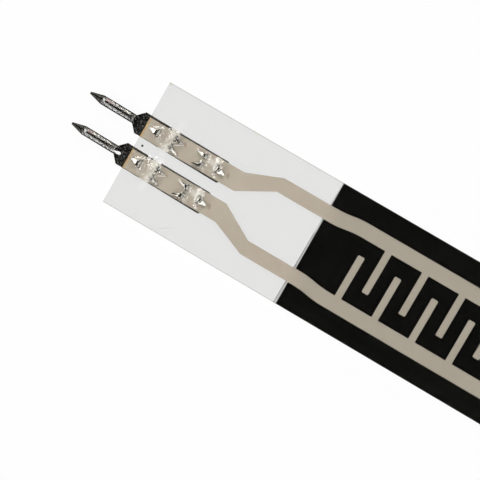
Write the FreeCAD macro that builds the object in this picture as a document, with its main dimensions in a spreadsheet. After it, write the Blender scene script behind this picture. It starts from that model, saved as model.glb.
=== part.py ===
"""Strip force sensing resistor with two crimped solder tabs. Millimetres.

A clear film carries two meshed silver combs on its underside. A second film carries the black
resistive ink. A frame of adhesive holds the two apart, so that the ink touches the fingers only
where the strip is pressed. Two stamped terminals pierce the clear tail and hook over it.

X runs along the strip, away from the terminals. Y is across it. Z is up, through the layers.
The origin is on the back of the strip, under the middle of the sensing area.
"""

import FreeCAD, Part
import os
import Sketcher

Vector = FreeCAD.Vector

doc = FreeCAD.newDocument("ForceSensingStrip")

# Driving dimensions

SIZES = [
    # the strip
    ("strip_width", "9.7"),
    ("tail_length", "14.09"),
    ("front_margin", "3.45"),
    ("sensing_length", "50"),
    ("far_margin", "2.7"),
    ("tail_cut_skew", "1.06"),
    # the layers, from the back to the front
    ("liner_thickness", "0.08"),
    ("rear_adhesive_thickness", "0.05"),
    ("base_film_thickness", "0.1"),
    ("ink_thickness", "0.015"),
    ("air_gap", "0.09"),
    ("silver_thickness", "0.015"),
    ("clear_film_thickness", "0.1"),
    # the ink and the adhesive frame
    ("ink_setback", "0.14"),
    ("ink_edge_skew", "0.84"),
    ("window_width", "5.1"),
    ("window_margin", "0.8"),
    ("vent_width", "0.6"),
    # the silver combs
    ("pad_width", "1.54"),
    ("pad_length", "7.74"),
    ("slope_length", "2.64"),
    ("trace_width", "1.11"),
    ("trace_offset", "2.54"),
    ("bend_setback", "0.54"),
    ("bend_length", "2.52"),
    ("bus_width", "1.11"),
    ("bus_offset", "2.775"),
    ("finger_width", "0.53"),
    ("finger_pitch", "1.477"),
    ("finger_length", "3.3"),
    ("finger_corner", "0.1"),
    # the terminals
    ("tab_pitch", "2.54"),
    ("crimp_skew", "0.87"),
    ("crimp_centre", "2.6"),
    ("sheet_thickness", "0.15"),
    ("plate_width", "1.72"),
    ("plate_length", "6.45"),
    ("plate_corner", "0.1"),
    ("shoulder_length", "0.5"),
    ("neck_length", "0.49"),
    ("pin_width", "0.67"),
    ("pin_height", "0.52"),
    ("pin_length", "2.66"),
    ("pin_point", "1.04"),
    ("point_width", "0.16"),
    ("point_height", "0.16"),
    ("point_wall", "0.07"),
    ("seam_gap", "0.02"),
    ("roll_length", "0.45"),
    ("roll_opening", "0.3"),
    ("roll_start_height", "0.25"),
    ("pin_corner", "0.1"),
    # the lanced teeth and the slots that they pierce
    ("first_root", "0.95"),
    ("second_root", "2.33"),
    ("third_root", "4.74"),
    ("fourth_root", "5.95"),
    ("tooth_reach", "0.74"),
    ("tooth_tip_width", "0.08"),
    ("tooth_blunt", "0.04"),
    ("single_tooth_width", "0.58"),
    ("pair_inner", "0.12"),
    ("pair_outer", "0.53"),
    ("claw_gap", "0.05"),
    ("claw_rise", "0.2"),
    ("lance_length", "0.88"),
    ("slot_clearance", "0.02"),
]

sheet = doc.addObject("Spreadsheet::Sheet", "Sizes")
for row, (alias, plain_number) in enumerate(SIZES, start=1):
    sheet.set("A%d" % row, alias)
    sheet.set("B%d" % row, plain_number)
    sheet.setAlias("B%d" % row, alias)
doc.recompute()


def size(text):
    """Turns each <alias> in an expression into the sheet's cell of that name."""
    for alias, _ in SIZES:
        text = text.replace("<%s>" % alias, "Sizes.%s" % alias)
    return text


def number(text):
    """What an expression on the sheet comes to now."""
    return float(sheet.evalExpression(size(text)))


# Places that several pieces share. X is measured from the cut end of the tail.

ORIGIN_X = "(<tail_length> + <front_margin> + <sensing_length> / 2)"
SENSING_START = "(<tail_length> + <front_margin>)"
SENSING_END = "(<tail_length> + <front_margin> + <sensing_length>)"
STRIP_END = "(<tail_length> + <front_margin> + <sensing_length> + <far_margin>)"
HALF_WIDTH = "(<strip_width> / 2)"

REAR_ADHESIVE_Z = "<liner_thickness>"
BASE_FILM_Z = "(<liner_thickness> + <rear_adhesive_thickness>)"
INK_Z = "(%s + <base_film_thickness>)" % BASE_FILM_Z
SPACER_Z = "(%s + <ink_thickness>)" % INK_Z
SPACER_THICKNESS = "(<air_gap> + <silver_thickness>)"
SILVER_Z = "(%s + <air_gap>)" % SPACER_Z
CLEAR_FILM_Z = "(%s + <silver_thickness>)" % SILVER_Z
PLATE_Z = "(%s - <sheet_thickness>)" % SILVER_Z

LEFT = 1
RIGHT = -1


# Sketching helpers

def line(x, y):
    """The next corner of an outline, reached by a straight line."""
    return (x, y, None, 0)


def arc(x, y, radius, turn):
    """The next corner, reached by a round line. Turn is 1 to the left and -1 to the right."""
    return (x, y, radius, turn)


def rounded_edge(start, end, radius, turn):
    """The arc of a given radius between two points, the shorter way round."""
    chord = end - start
    middle = (start + end) * 0.5
    to_centre = Vector(-chord.y, chord.x, 0).normalize() * turn
    rise = max(radius * radius - chord.Length * chord.Length / 4, 0) ** 0.5
    centre = middle + to_centre * rise
    top = centre - to_centre * radius
    return Part.Arc(start, top, end)


def draw(sketch, corners):
    """Draws a closed outline whose corners, and whose arcs' radii, are bound to the sheet."""
    first_edge = sketch.GeometryCount
    points = [Vector(number(x), number(y), 0) for x, y, _, _ in corners]
    count = len(corners)
    starts = []
    ends = []
    for index, (_, _, radius, turn) in enumerate(corners):
        start = points[index - 1]
        end = points[index]
        if radius is None:
            sketch.addGeometry(Part.LineSegment(start, end), False)
            starts.append(1)
            ends.append(2)
        else:
            sketch.addGeometry(rounded_edge(start, end, number(radius), turn), False)
            starts.append(1 if turn > 0 else 2)
            ends.append(2 if turn > 0 else 1)
    for index, (x, y, radius, _) in enumerate(corners):
        edge = first_edge + index
        following = (index + 1) % count
        sketch.addConstraint(Sketcher.Constraint(
            "Coincident", edge, ends[index], first_edge + following, starts[following]))
        bind(sketch, "DistanceX", edge, ends[index], x)
        bind(sketch, "DistanceY", edge, ends[index], y)
        if radius is not None:
            bind(sketch, "Radius", edge, None, radius)


def bind(sketch, kind, edge, end, text):
    """Adds one dimension to a sketch and ties it to the sheet."""
    value = number(text)
    if kind == "Radius":
        place = sketch.addConstraint(Sketcher.Constraint(kind, edge, value))
    else:
        place = sketch.addConstraint(Sketcher.Constraint(kind, -1, 1, edge, end, value))
    name = "%s_%d" % (kind.lower(), place)
    sketch.renameConstraint(place, name)
    sketch.setExpression("Constraints." + name, size(text))


def box_corners(left, right, bottom, top):
    return [line(left, bottom), line(right, bottom), line(right, top), line(left, top)]


def origin_plane(body, role):
    for feature in body.Origin.OriginFeatures:
        if feature.Role == role:
            return feature
    raise RuntimeError("no " + role)


def new_body(label, height):
    """A body drawn from the end of the tail and placed at its layer's height."""
    body = doc.addObject("PartDesign::Body", label)
    body.Label = label
    body.setExpression("Placement.Base.x", size("-" + ORIGIN_X))
    body.setExpression("Placement.Base.z", size(height))
    return body


def new_sketch(body, name, role="XY_Plane", offset="0"):
    sketch = body.newObject("Sketcher::SketchObject", name)
    sketch.AttachmentSupport = (origin_plane(body, role), [""])
    sketch.MapMode = "FlatFace"
    sketch.setExpression("AttachmentOffset.Base.z", size(offset))
    doc.recompute()
    return sketch


def pad(body, sketch, thickness, both_ways=False):
    feature = body.newObject("PartDesign::Pad", sketch.Name + "_pad")
    feature.Profile = sketch
    feature.setExpression("Length", size(thickness))
    if both_ways:
        feature.SideType = "Symmetric"
    doc.recompute()
    return feature


def cut_through(body, sketch):
    """Pockets a sketch through the whole body, and makes sure that it took something away."""
    before = body.Shape.Volume
    feature = body.newObject("PartDesign::Pocket", sketch.Name + "_cut")
    feature.Profile = sketch
    feature.Type = "ThroughAll"
    feature.SideType = "Symmetric"
    doc.recompute()
    if body.Shape.Volume >= before:
        raise RuntimeError(sketch.Name + " cut nothing")
    return feature


# Where a terminal sits. The pair was crimped a little out of square with the print.

def tab_place(side):
    """The x and y, from the tail's end, of a terminal's own zero, once the pair is turned."""
    across = "(%d * <tab_pitch> / 2)" % side
    x = "(<crimp_centre> * (1 - cos(<crimp_skew>)) + %s * sin(<crimp_skew>))" % across
    y = "(<crimp_centre> * sin(<crimp_skew>) + %s * cos(<crimp_skew>))" % across
    return x, y


# Each row of teeth: its root, whether its tips point inward (1) or towards the pin (-1), and its
# teeth, as the inner and outer edges of their roots.

SINGLE = [("-<single_tooth_width> / 2", "<single_tooth_width> / 2")]
PAIR = [("<pair_inner>", "<pair_outer>"), ("-<pair_outer>", "-<pair_inner>")]
TOOTH_ROWS = [
    ("first", "<first_root>", -1, SINGLE),
    ("second", "<second_root>", 1, PAIR),
    ("third", "<third_root>", -1, PAIR),
    ("fourth", "<fourth_root>", 1, SINGLE),
]


def pierce(body, side):
    """Cuts the slots that one terminal's teeth pass through."""
    sketch = new_sketch(body, "slots_left" if side == LEFT else "slots_right")
    x, y = tab_place(side)
    sketch.setExpression("AttachmentOffset.Base.x", size(x))
    sketch.setExpression("AttachmentOffset.Base.y", size(y))
    sketch.setExpression("AttachmentOffset.Rotation.Angle", size("-<crimp_skew>"))
    for _, root, way, teeth in TOOTH_ROWS:
        if way < 0:
            near = "%s - <slot_clearance>" % root
            far = "%s + <sheet_thickness> + <slot_clearance>" % root
        else:
            near = "%s - <sheet_thickness> - <slot_clearance>" % root
            far = "%s + <slot_clearance>" % root
        for low, high in teeth:
            draw(sketch, box_corners(near, far, low + " - <slot_clearance>", high + " + <slot_clearance>"))
    return cut_through(body, sketch)


# Flat layers

def strip_layer(label, height, thickness):
    """A layer as large as the strip without its clear tail."""
    body = new_body(label, height)
    sketch = new_sketch(body, label + "_outline")
    draw(sketch, box_corners("<tail_length>", STRIP_END, "-" + HALF_WIDTH, HALF_WIDTH))
    pad(body, sketch, thickness)
    return body


release_liner = strip_layer("release_liner", "0", "<liner_thickness>")
rear_adhesive = strip_layer("rear_adhesive", REAR_ADHESIVE_Z, "<rear_adhesive_thickness>")
base_film = strip_layer("base_film", BASE_FILM_Z, "<base_film_thickness>")

resistive_ink = new_body("resistive_ink", INK_Z)
ink_outline = new_sketch(resistive_ink, "ink_outline")
INK_START = "<tail_length> + <ink_setback>"
INK_SLANT = "%s * tan(<ink_edge_skew>)" % HALF_WIDTH
draw(ink_outline, [
    line(INK_START + " + " + INK_SLANT, "-" + HALF_WIDTH),
    line(STRIP_END, "-" + HALF_WIDTH),
    line(STRIP_END, HALF_WIDTH),
    line(INK_START + " - " + INK_SLANT, HALF_WIDTH),
])
pad(resistive_ink, ink_outline, "<ink_thickness>")

conductive_film = new_body("conductive_film", CLEAR_FILM_Z)
film_outline = new_sketch(conductive_film, "film_outline")
TAIL_SLANT = "%s * tan(<tail_cut_skew>)" % HALF_WIDTH
draw(film_outline, [
    line(TAIL_SLANT, "-" + HALF_WIDTH),
    line(STRIP_END, "-" + HALF_WIDTH),
    line(STRIP_END, HALF_WIDTH),
    line("-" + TAIL_SLANT, HALF_WIDTH),
])
pad(conductive_film, film_outline, "<clear_film_thickness>")
pierce(conductive_film, LEFT)
pierce(conductive_film, RIGHT)


# Silver combs

BEND_START = "(<tail_length> + <bend_setback>)"
BEND_END = "(%s + <bend_length>)" % BEND_START
BEND_MIDDLE = "(%s + <bend_length> / 2)" % BEND_START


def bend_radius(shift):
    """The radius of the two equal arcs of an S-bend that moves sideways by a shift."""
    return "(<bend_length> ^ 2 + (%s) ^ 2) / (4 * (%s))" % (shift, shift)


def silver_comb(label, side):
    """A pad for the terminal, a trace along the tail, a bus, and the fingers across the window."""
    body = new_body(label, SILVER_Z)

    def across(text):
        return text if side == LEFT else "-(%s)" % text

    pad_outer = "(<tab_pitch> / 2 + <pad_width> / 2)"
    pad_inner = "(<tab_pitch> / 2 - <pad_width> / 2)"
    trace_outer = "(<trace_offset> + <trace_width> / 2)"
    trace_inner = "(<trace_offset> - <trace_width> / 2)"
    bus_outer = "(<bus_offset> + <bus_width> / 2)"
    bus_inner = "(<bus_offset> - <bus_width> / 2)"
    outer_bend = bend_radius("%s - %s" % (bus_outer, trace_outer))
    inner_bend = bend_radius("%s - %s" % (bus_inner, trace_inner))
    middle_outer = across("(%s + %s) / 2" % (trace_outer, bus_outer))
    middle_inner = across("(%s + %s) / 2" % (trace_inner, bus_inner))
    slope_end = "<pad_length> + <slope_length>"
    # The pad stops at the cut end of the tail, which is a little out of square.
    cut_outer = "-%d * %s * tan(<tail_cut_skew>)" % (side, pad_outer)
    cut_inner = "-%d * %s * tan(<tail_cut_skew>)" % (side, pad_inner)

    outline = new_sketch(body, label + "_outline")
    draw(outline, [
        line(cut_inner, across(pad_inner)),
        line("<pad_length>", across(pad_inner)),
        line(slope_end, across(trace_inner)),
        line(BEND_START, across(trace_inner)),
        arc(BEND_MIDDLE, middle_inner, inner_bend, side),
        arc(BEND_END, across(bus_inner), inner_bend, -side),
        line(SENSING_END, across(bus_inner)),
        line(SENSING_END, across(bus_outer)),
        line(BEND_END, across(bus_outer)),
        arc(BEND_MIDDLE, middle_outer, outer_bend, side),
        arc(BEND_START, across(trace_outer), outer_bend, -side),
        line(slope_end, across(trace_outer)),
        line("<pad_length>", across(pad_outer)),
        line(cut_outer, across(pad_outer)),
    ])
    pad(body, outline, "<silver_thickness>")

    # The right comb has the first finger, and the left comb's fingers lie between the right one's.
    lag = "0" if side == RIGHT else "<finger_pitch>"
    start = "(%s + %s)" % (SENSING_START, lag)
    end = "(%s + <finger_width>)" % start
    root = across(bus_inner)
    shoulder = across("(%s - <finger_length> + <finger_corner>)" % bus_inner)
    tip = across("(%s - <finger_length>)" % bus_inner)
    finger = new_sketch(body, label + "_finger")
    draw(finger, [
        line(end, root),
        line(start, root),
        line(start, shoulder),
        arc(start + " + <finger_corner>", tip, "<finger_corner>", side),
        line(end + " - <finger_corner>", tip),
        arc(end, shoulder, "<finger_corner>", side),
    ])
    finger_pad = pad(body, finger, "<silver_thickness>")
    fingers = body.newObject("PartDesign::LinearPattern", label + "_fingers")
    fingers.Originals = [finger_pad]
    fingers.Direction = (finger, ["H_Axis"])
    fingers.Mode = "Spacing"
    fingers.setExpression("Offset", size("2 * <finger_pitch>"))
    fingers.setExpression("Occurrences", size(
        "floor((<sensing_length> - <finger_width> - %s) / (2 * <finger_pitch>)) + 1" % lag))
    body.Tip = fingers
    doc.recompute()
    pierce(body, side)
    return body


silver_comb_left = silver_comb("silver_comb_left", LEFT)
silver_comb_right = silver_comb("silver_comb_right", RIGHT)


# The adhesive frame: open over the fingers, vented to the tail, and pressed round the silver

spacer_blank = strip_layer("spacer_blank", SPACER_Z, SPACER_THICKNESS)
window = new_sketch(spacer_blank, "window")
WINDOW_START = "%s - <window_margin>" % SENSING_START
draw(window, box_corners(WINDOW_START, "%s + <window_margin>" % SENSING_END,
                         "-<window_width> / 2", "<window_width> / 2"))
cut_through(spacer_blank, window)
vent = new_sketch(spacer_blank, "vent")
draw(vent, box_corners("<tail_length> - <front_margin>", WINDOW_START + " + <window_margin> / 2",
                       "-<vent_width> / 2", "<vent_width> / 2"))
cut_through(spacer_blank, vent)

around_left = doc.addObject("Part::Cut", "around_left")
around_left.Base = spacer_blank
around_left.Tool = silver_comb_left
spacer_adhesive = doc.addObject("Part::Cut", "spacer_adhesive")
spacer_adhesive.Label = "spacer_adhesive"
spacer_adhesive.Base = around_left
spacer_adhesive.Tool = silver_comb_right
doc.recompute()


# Terminals. Each is one stamping: a plate under the pad with teeth lanced out of it, shoulders
# outside the film, and a pin rolled from the same sheet until its edges meet along the top.
# A terminal's own zero is on its middle line, at the end of the tail, on the underside of the plate.

STACK = "(<silver_thickness> + <clear_film_thickness>)"
FILM_TOP = "(<sheet_thickness> + %s)" % STACK
NECK = "(<shoulder_length> + <neck_length>)"
PIN_END = "(%s + <pin_length>)" % NECK
POINT_END = "(%s + <pin_point>)" % PIN_END


def lance_corners(root, way, low, high, single):
    """The opening that a tooth leaves in the plate: as wide as its root, narrow at its end."""
    far = "(%s - %d * <lance_length>)" % (root, way)
    if single:
        far_low = "-<tooth_tip_width> / 2"
        far_high = "<tooth_tip_width> / 2"
    elif low.startswith("-"):
        far_low = low
        far_high = "(%s + <tooth_tip_width>)" % low
    else:
        far_low = "(%s - <tooth_tip_width>)" % high
        far_high = high
    return [line(root, low), line(root, high), line(far, far_high), line(far, far_low)]


def plate_outline(body):
    sketch = new_sketch(body, "plate_outline")
    half = "(<plate_width> / 2)"
    neck_half = "(<pin_width> / 2)"
    draw(sketch, [
        line("-" + NECK, "-" + neck_half),
        line("-<shoulder_length>", "-" + half),
        line("<plate_length> - <plate_corner>", "-" + half),
        line("<plate_length>", "-(%s - <plate_corner>)" % half),
        line("<plate_length>", "(%s - <plate_corner>)" % half),
        line("<plate_length> - <plate_corner>", half),
        line("-<shoulder_length>", half),
        line("-" + NECK, neck_half),
    ])
    return pad(body, sketch, "<sheet_thickness>")


def lance(body):
    sketch = new_sketch(body, "lances")
    for _, root, way, teeth in TOOTH_ROWS:
        for low, high in teeth:
            draw(sketch, lance_corners(root, way, low, high, teeth is SINGLE))
    cut_through(body, sketch)


def claw_corners(root, way):
    """A tooth from the side: round the bend, up through the film, over, and down onto the film."""
    def along(distance):
        return "(%s + %d * (%s))" % (root, way, distance)

    chord = "(<tooth_reach> + <sheet_thickness>)"
    outer_radius = "(%s ^ 2 / 4 + <claw_rise> ^ 2) / (2 * <claw_rise>)" % chord
    inner_radius = "(<tooth_reach> ^ 2 / 4 + <claw_gap> ^ 2) / (2 * <claw_gap>)"
    blunt_top = "(%s + <tooth_blunt>)" % FILM_TOP
    return [
        line(along("<sheet_thickness> / 2"), "0"),
        line(along("<sheet_thickness> / 2"), "<sheet_thickness>"),
        line(along("0"), "<sheet_thickness>"),
        line(along("0"), FILM_TOP),
        arc(along("<tooth_reach>"), FILM_TOP, inner_radius, -way),
        line(along("<tooth_reach>"), blunt_top),
        arc(along("-<sheet_thickness>"), blunt_top, outer_radius, way),
        line(along("-<sheet_thickness>"), "<sheet_thickness>"),
        arc(along("0"), "0", "<sheet_thickness>", way),
    ]


def raise_teeth(body, row, root, way, low, high, single):
    """One claw, as wide as its root, whose flanks are then trimmed to a point."""
    name = "%s_%s" % (row, "single" if single else ("pair_b" if low.startswith("-") else "pair_a"))
    middle = "((%s) + (%s)) / 2" % (low, high)
    sketch = new_sketch(body, name + "_claw", "XZ_Plane", "-(%s)" % middle)
    draw(sketch, claw_corners(root, way))
    pad(body, sketch, "(%s) - (%s)" % (high, low), both_ways=True)

    tip = "(%s + %d * <tooth_reach>)" % (root, way)
    beyond = "(%s + %d * (<tooth_reach> + <slot_clearance>))" % (root, way)
    if single:
        tip_low = "-<tooth_tip_width> / 2"
        tip_high = "<tooth_tip_width> / 2"
    elif low.startswith("-"):
        tip_low = low
        tip_high = "(%s + <tooth_tip_width>)" % low
    else:
        tip_low = "(%s - <tooth_tip_width>)" % high
        tip_high = high
    trim = new_sketch(body, name + "_trim", "XY_Plane", "<sheet_thickness>")
    if tip_high != high:
        draw(trim, [line(root, high), line(tip, tip_high), line(beyond, tip_high), line(beyond, high)])
    if tip_low != low:
        draw(trim, [line(root, low), line(tip, tip_low), line(beyond, tip_low), line(beyond, low)])
    before = body.Shape.Volume
    feature = body.newObject("PartDesign::Pocket", name + "_trimmed")
    feature.Profile = trim
    feature.Type = "ThroughAll"
    feature.Reversed = True
    doc.recompute()
    if body.Shape.Volume >= before:
        raise RuntimeError(name + " was not trimmed")


def pin_section(body, name, place, width, height, gap, wall):
    """The rolled sheet, cut across: a floor, two sides, and two edges curled in to the seam."""
    half = "(%s / 2)" % width
    curl = "((%s - %s) / 4)" % (width, gap)
    inner = "(%s - %s)" % (half, wall)
    spring = "(%s - %s)" % (height, curl)
    crown = "(%s - %s)" % (half, curl)
    foot = "(%s * <pin_corner> / <pin_width>)" % width
    lip = "(%s / 2)" % gap
    sketch = new_sketch(body, name, "YZ_Plane", place)
    draw(sketch, [
        line("(%s - %s)" % (half, foot), "0"),
        arc(half, foot, foot, 1),
        line(half, spring),
        arc(crown, height, curl, 1),
        arc(lip, spring, curl, 1),
        line(inner, spring),
        line(inner, wall),
        line("-" + inner, wall),
        line("-" + inner, spring),
        line("-" + lip, spring),
        arc("-" + crown, height, curl, 1),
        arc("-" + half, spring, curl, 1),
        line("-" + half, foot),
        arc("-(%s - %s)" % (half, foot), "0", foot, 1),
    ])
    return sketch


def roll_pin(body):
    """The pin: curled up from the neck, straight as far as its point, and pressed together there."""
    roll_end = "-(%s + <roll_length>)" % NECK
    sections = [
        pin_section(body, "roll_start", "-(%s - <sheet_thickness>)" % NECK, "<pin_width>",
                    "<roll_start_height>", "<roll_opening>", "<sheet_thickness>"),
        pin_section(body, "roll_end", roll_end, "<pin_width>", "<pin_height>", "<seam_gap>",
                    "<sheet_thickness>"),
        pin_section(body, "pin_end", "-" + PIN_END, "<pin_width>", "<pin_height>", "<seam_gap>",
                    "<sheet_thickness>"),
        pin_section(body, "point_end", "-" + POINT_END, "<point_width>", "<point_height>",
                    "(<seam_gap> * <point_width> / <pin_width>)", "<point_wall>"),
    ]
    feature = body.newObject("PartDesign::AdditiveLoft", "rolled_pin")
    feature.Profile = sections[0]
    feature.Sections = sections[1:]
    feature.Ruled = True
    doc.recompute()
    return feature


stamping = doc.addObject("PartDesign::Body", "stamping")
plate_outline(stamping)
lance(stamping)
for row_name, row_root, row_way, row_teeth in TOOTH_ROWS:
    for tooth_low, tooth_high in row_teeth:
        raise_teeth(stamping, row_name, row_root, row_way, tooth_low, tooth_high, row_teeth is SINGLE)
roll_pin(stamping)


def terminal(label, side):
    """The stamping, set in its place under a pad."""
    piece = doc.addObject("Part::Compound", label)
    piece.Label = label
    piece.Links = [stamping]
    x, y = tab_place(side)
    piece.setExpression("Placement.Base.x", size("%s - %s" % (x, ORIGIN_X)))
    piece.setExpression("Placement.Base.y", size(y))
    piece.setExpression("Placement.Base.z", size(PLATE_Z))
    piece.setExpression("Placement.Rotation.Angle", size("-<crimp_skew>"))
    return piece


terminal_left = terminal("terminal_left", LEFT)
terminal_right = terminal("terminal_right", RIGHT)
doc.recompute()


# Checks and export

PIECES = [
    release_liner,
    rear_adhesive,
    base_film,
    resistive_ink,
    spacer_adhesive,
    silver_comb_left,
    silver_comb_right,
    conductive_film,
    terminal_left,
    terminal_right,
]

for item in doc.Objects:
    if "Invalid" in item.State or "Error" in item.State:
        raise RuntimeError("%s did not compute: %s" % (item.Name, item.State))

os.makedirs("parts", exist_ok=True)
for piece in PIECES:
    shape = piece.Shape
    if shape.isNull() or not shape.isValid() or len(shape.Solids) != 1:
        raise RuntimeError("%s is not one valid solid" % piece.Label)
    shape.exportStep("parts/%s.step" % piece.Label)
    box = shape.BoundBox
    print("%-18s volume %8.4f  x %7.2f %7.2f  y %6.2f %6.2f  z %6.3f %6.3f" % (
        piece.Label, shape.Volume, box.XMin, box.XMax, box.YMin, box.YMax, box.ZMin, box.ZMax))
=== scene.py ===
# %% [markdown]
# A strip force sensing resistor
#
# The real object is a flat strip of two polyester films. The front film is clear and carries two
# meshed silver combs on its underside. The back film carries black resistive ink. Two stamped metal
# terminals hook through the clear tail. The construction is already solid geometry in the frame, so
# this lesson dresses it: it rebuilds the pieces whose surface matters close up, and gives every
# piece a material of its own.

# %% Load the frame
import math
from itertools import combinations

import bmesh
import bpy
from mathutils import Matrix, Vector, noise
from mathutils.geometry import delaunay_2d_cdt


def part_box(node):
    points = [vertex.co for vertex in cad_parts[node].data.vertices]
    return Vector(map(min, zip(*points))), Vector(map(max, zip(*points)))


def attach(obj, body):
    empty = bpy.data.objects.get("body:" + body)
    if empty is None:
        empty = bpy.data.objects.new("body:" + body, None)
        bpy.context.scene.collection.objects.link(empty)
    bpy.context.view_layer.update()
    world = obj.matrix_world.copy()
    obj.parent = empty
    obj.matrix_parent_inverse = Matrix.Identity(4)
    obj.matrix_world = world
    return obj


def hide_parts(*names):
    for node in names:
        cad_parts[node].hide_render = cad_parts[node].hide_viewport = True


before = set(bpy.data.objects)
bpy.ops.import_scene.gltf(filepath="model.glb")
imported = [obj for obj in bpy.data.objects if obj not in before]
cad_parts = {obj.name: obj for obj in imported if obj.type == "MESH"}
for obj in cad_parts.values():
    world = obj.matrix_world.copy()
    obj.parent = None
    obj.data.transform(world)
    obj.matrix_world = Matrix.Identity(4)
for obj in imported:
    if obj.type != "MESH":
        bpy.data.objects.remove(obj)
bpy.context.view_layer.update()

# %% [markdown]
# Sizes are written in millimetres, because that is how such a strip is drawn, and turned into metres
# when a mesh is made. The layers' heights come from the frame's own boxes. Places along the tail
# are measured from its cut end, and a terminal has its own zero there, on its middle line.

# %% Shared sizes and places
MM = 0.001


def box_mm(node):
    low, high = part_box(node)
    return low / MM, high / MM


film_low, film_high = box_mm("conductive_film")
silver_low, silver_high = box_mm("silver_comb_left")
liner_low = box_mm("release_liner")[0]
plate_low = box_mm("terminal_left")[0].z

HALF_WIDTH = film_high.y
TAIL_CUT_SKEW = math.radians(1.06)
TAIL_SLANT = HALF_WIDTH * math.tan(TAIL_CUT_SKEW)
TAIL_END = film_low.x + TAIL_SLANT
TAIL_LENGTH = liner_low.x - TAIL_END

TAB_PITCH = 2.54
CRIMP_SKEW = math.radians(0.87)
CRIMP_CENTRE = 2.6
SHEET = 0.15
LEFT, RIGHT = 1, -1


def terminal_place(side):
    """The matrix, in millimetres, from a terminal's own zero to the frame."""
    across = side * TAB_PITCH / 2
    x = CRIMP_CENTRE * (1 - math.cos(CRIMP_SKEW)) + across * math.sin(CRIMP_SKEW)
    y = CRIMP_CENTRE * math.sin(CRIMP_SKEW) + across * math.cos(CRIMP_SKEW)
    place = Matrix.Translation((TAIL_END + x, y, plate_low))
    return place @ Matrix.Rotation(-CRIMP_SKEW, 4, "Z")


print("tail %.2f mm long, film %.2f mm thick" % (TAIL_LENGTH, film_high.z - film_low.z))

# %% [markdown]
# Every flat layer is a prism: an outline, perhaps with holes, between two heights. A constrained
# Delaunay triangulation fills the outline and takes extra points inside it, so that a film can be
# flat where it is flat and fine-meshed where it puckers. The walls go up along each edge that only
# one triangle has.

# %% Objects and outlines
SHARP = math.radians(30)


def place_in_scene(name, data):
    piece = bpy.data.objects.new(name, data)
    bpy.context.scene.collection.objects.link(piece)
    return piece


def new_object(name, vertices_mm, faces, smooth=True):
    mesh = bpy.data.meshes.new(name)
    mesh.from_pydata([Vector(v) * MM for v in vertices_mm], [], faces)
    mesh.validate()
    if smooth:
        mesh.polygons.foreach_set("use_smooth", [True] * len(mesh.polygons))
        mesh.set_sharp_from_angle(angle=SHARP)
    return place_in_scene(name, mesh)


def rectangle(low_x, high_x, low_y, high_y):
    return [(low_x, low_y), (high_x, low_y), (high_x, high_y), (low_x, high_y)]


def sides_of(middle, width):
    return middle - width / 2, middle + width / 2


def mirrored(lower):
    """Half an outline and its mirror image across the middle line, as one outline."""
    return lower + [(x, -y) for x, y in reversed(lower)]


def finely(corners, step):
    """An outline with its long edges cut into short ones."""
    points = []
    for index, corner in enumerate(corners):
        start = Vector(corner)
        end = Vector(corners[(index + 1) % len(corners)])
        cuts = max(1, round((end - start).length / step))
        points.extend(start.lerp(end, cut / cuts) for cut in range(cuts))
    return points


def grid_points(low_x, high_x, low_y, high_y, step):
    columns = round((high_x - low_x) / step)
    rows = round((high_y - low_y) / step)
    return [
        Vector((low_x + column * step, low_y + row * step))
        for column in range(columns + 1)
        for row in range(rows + 1)
    ]


# %% Filling an outline
def filled(points, edges):
    """The triangles inside a set of loops, where each crossing of a loop leads in or out."""
    flat, flat_edges, triangles, _, sources, _ = delaunay_2d_cdt(points, edges, [], 0, 1e-5, True)
    walls = {frozenset(edge) for edge, source in zip(flat_edges, sources) if source}
    borders = [[frozenset(pair) for pair in combinations(triangle, 2)] for triangle in triangles]
    owners = {}
    for index, border in enumerate(borders):
        for edge in border:
            owners.setdefault(edge, []).append(index)
    inside = {pair[0]: edge in walls for edge, pair in owners.items() if len(pair) == 1}
    queue = list(inside)
    while queue:
        index = queue.pop()
        for edge in borders[index]:
            for other in owners[edge]:
                if other not in inside:
                    inside[other] = inside[index] != (edge in walls)
                    queue.append(other)
    kept = []
    for index, (a, b, c) in enumerate(triangles):
        if inside[index]:
            turn = (flat[b] - flat[a]).cross(flat[c] - flat[a])
            kept.append((a, b, c) if turn > 0 else (a, c, b))
    return flat, kept


# %% A prism
def prism(name, outline, low, high, holes=(), inside=(), lift=None):
    """A closed layer between two heights. Holes have four corners. Lift moves both faces up."""
    points = []
    edges = []
    for loop in [outline, *holes]:
        first = len(points)
        points.extend(Vector(p) for p in loop)
        edges.extend((first + i, first + (i + 1) % len(loop)) for i in range(len(loop)))
    points.extend(inside)
    flat, kept = filled(points, edges)
    used = sorted({corner for triangle in kept for corner in triangle})
    number = {corner: index for index, corner in enumerate(used)}
    flat = [flat[corner] for corner in used]
    kept = [tuple(number[corner] for corner in triangle) for triangle in kept]
    count = len(flat)
    rise = [lift(p.x, p.y) if lift else 0 for p in flat]
    vertices = [(p.x, p.y, low + r) for p, r in zip(flat, rise)]
    vertices += [(p.x, p.y, high + r) for p, r in zip(flat, rise)]
    faces = [(c, b, a) for a, b, c in kept]
    faces += [(a + count, b + count, c + count) for a, b, c in kept]
    half_edges = {(t[i], t[(i + 1) % 3]) for t in kept for i in range(3)}
    for a, b in sorted(half_edges):
        if (b, a) not in half_edges:
            faces.append((a, b, b + count, a + count))
    return new_object(name, vertices, faces)


# %% [markdown]
# Six teeth are lanced out of each terminal's plate, pushed up through the film and curled over. One
# tooth stands at each end and two pairs stand between. The list gives, for each tooth, where its
# root is, which way its tip points, how wide its root is and where it stands across the plate. Both
# the slots in the film and the teeth themselves come from it.

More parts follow.
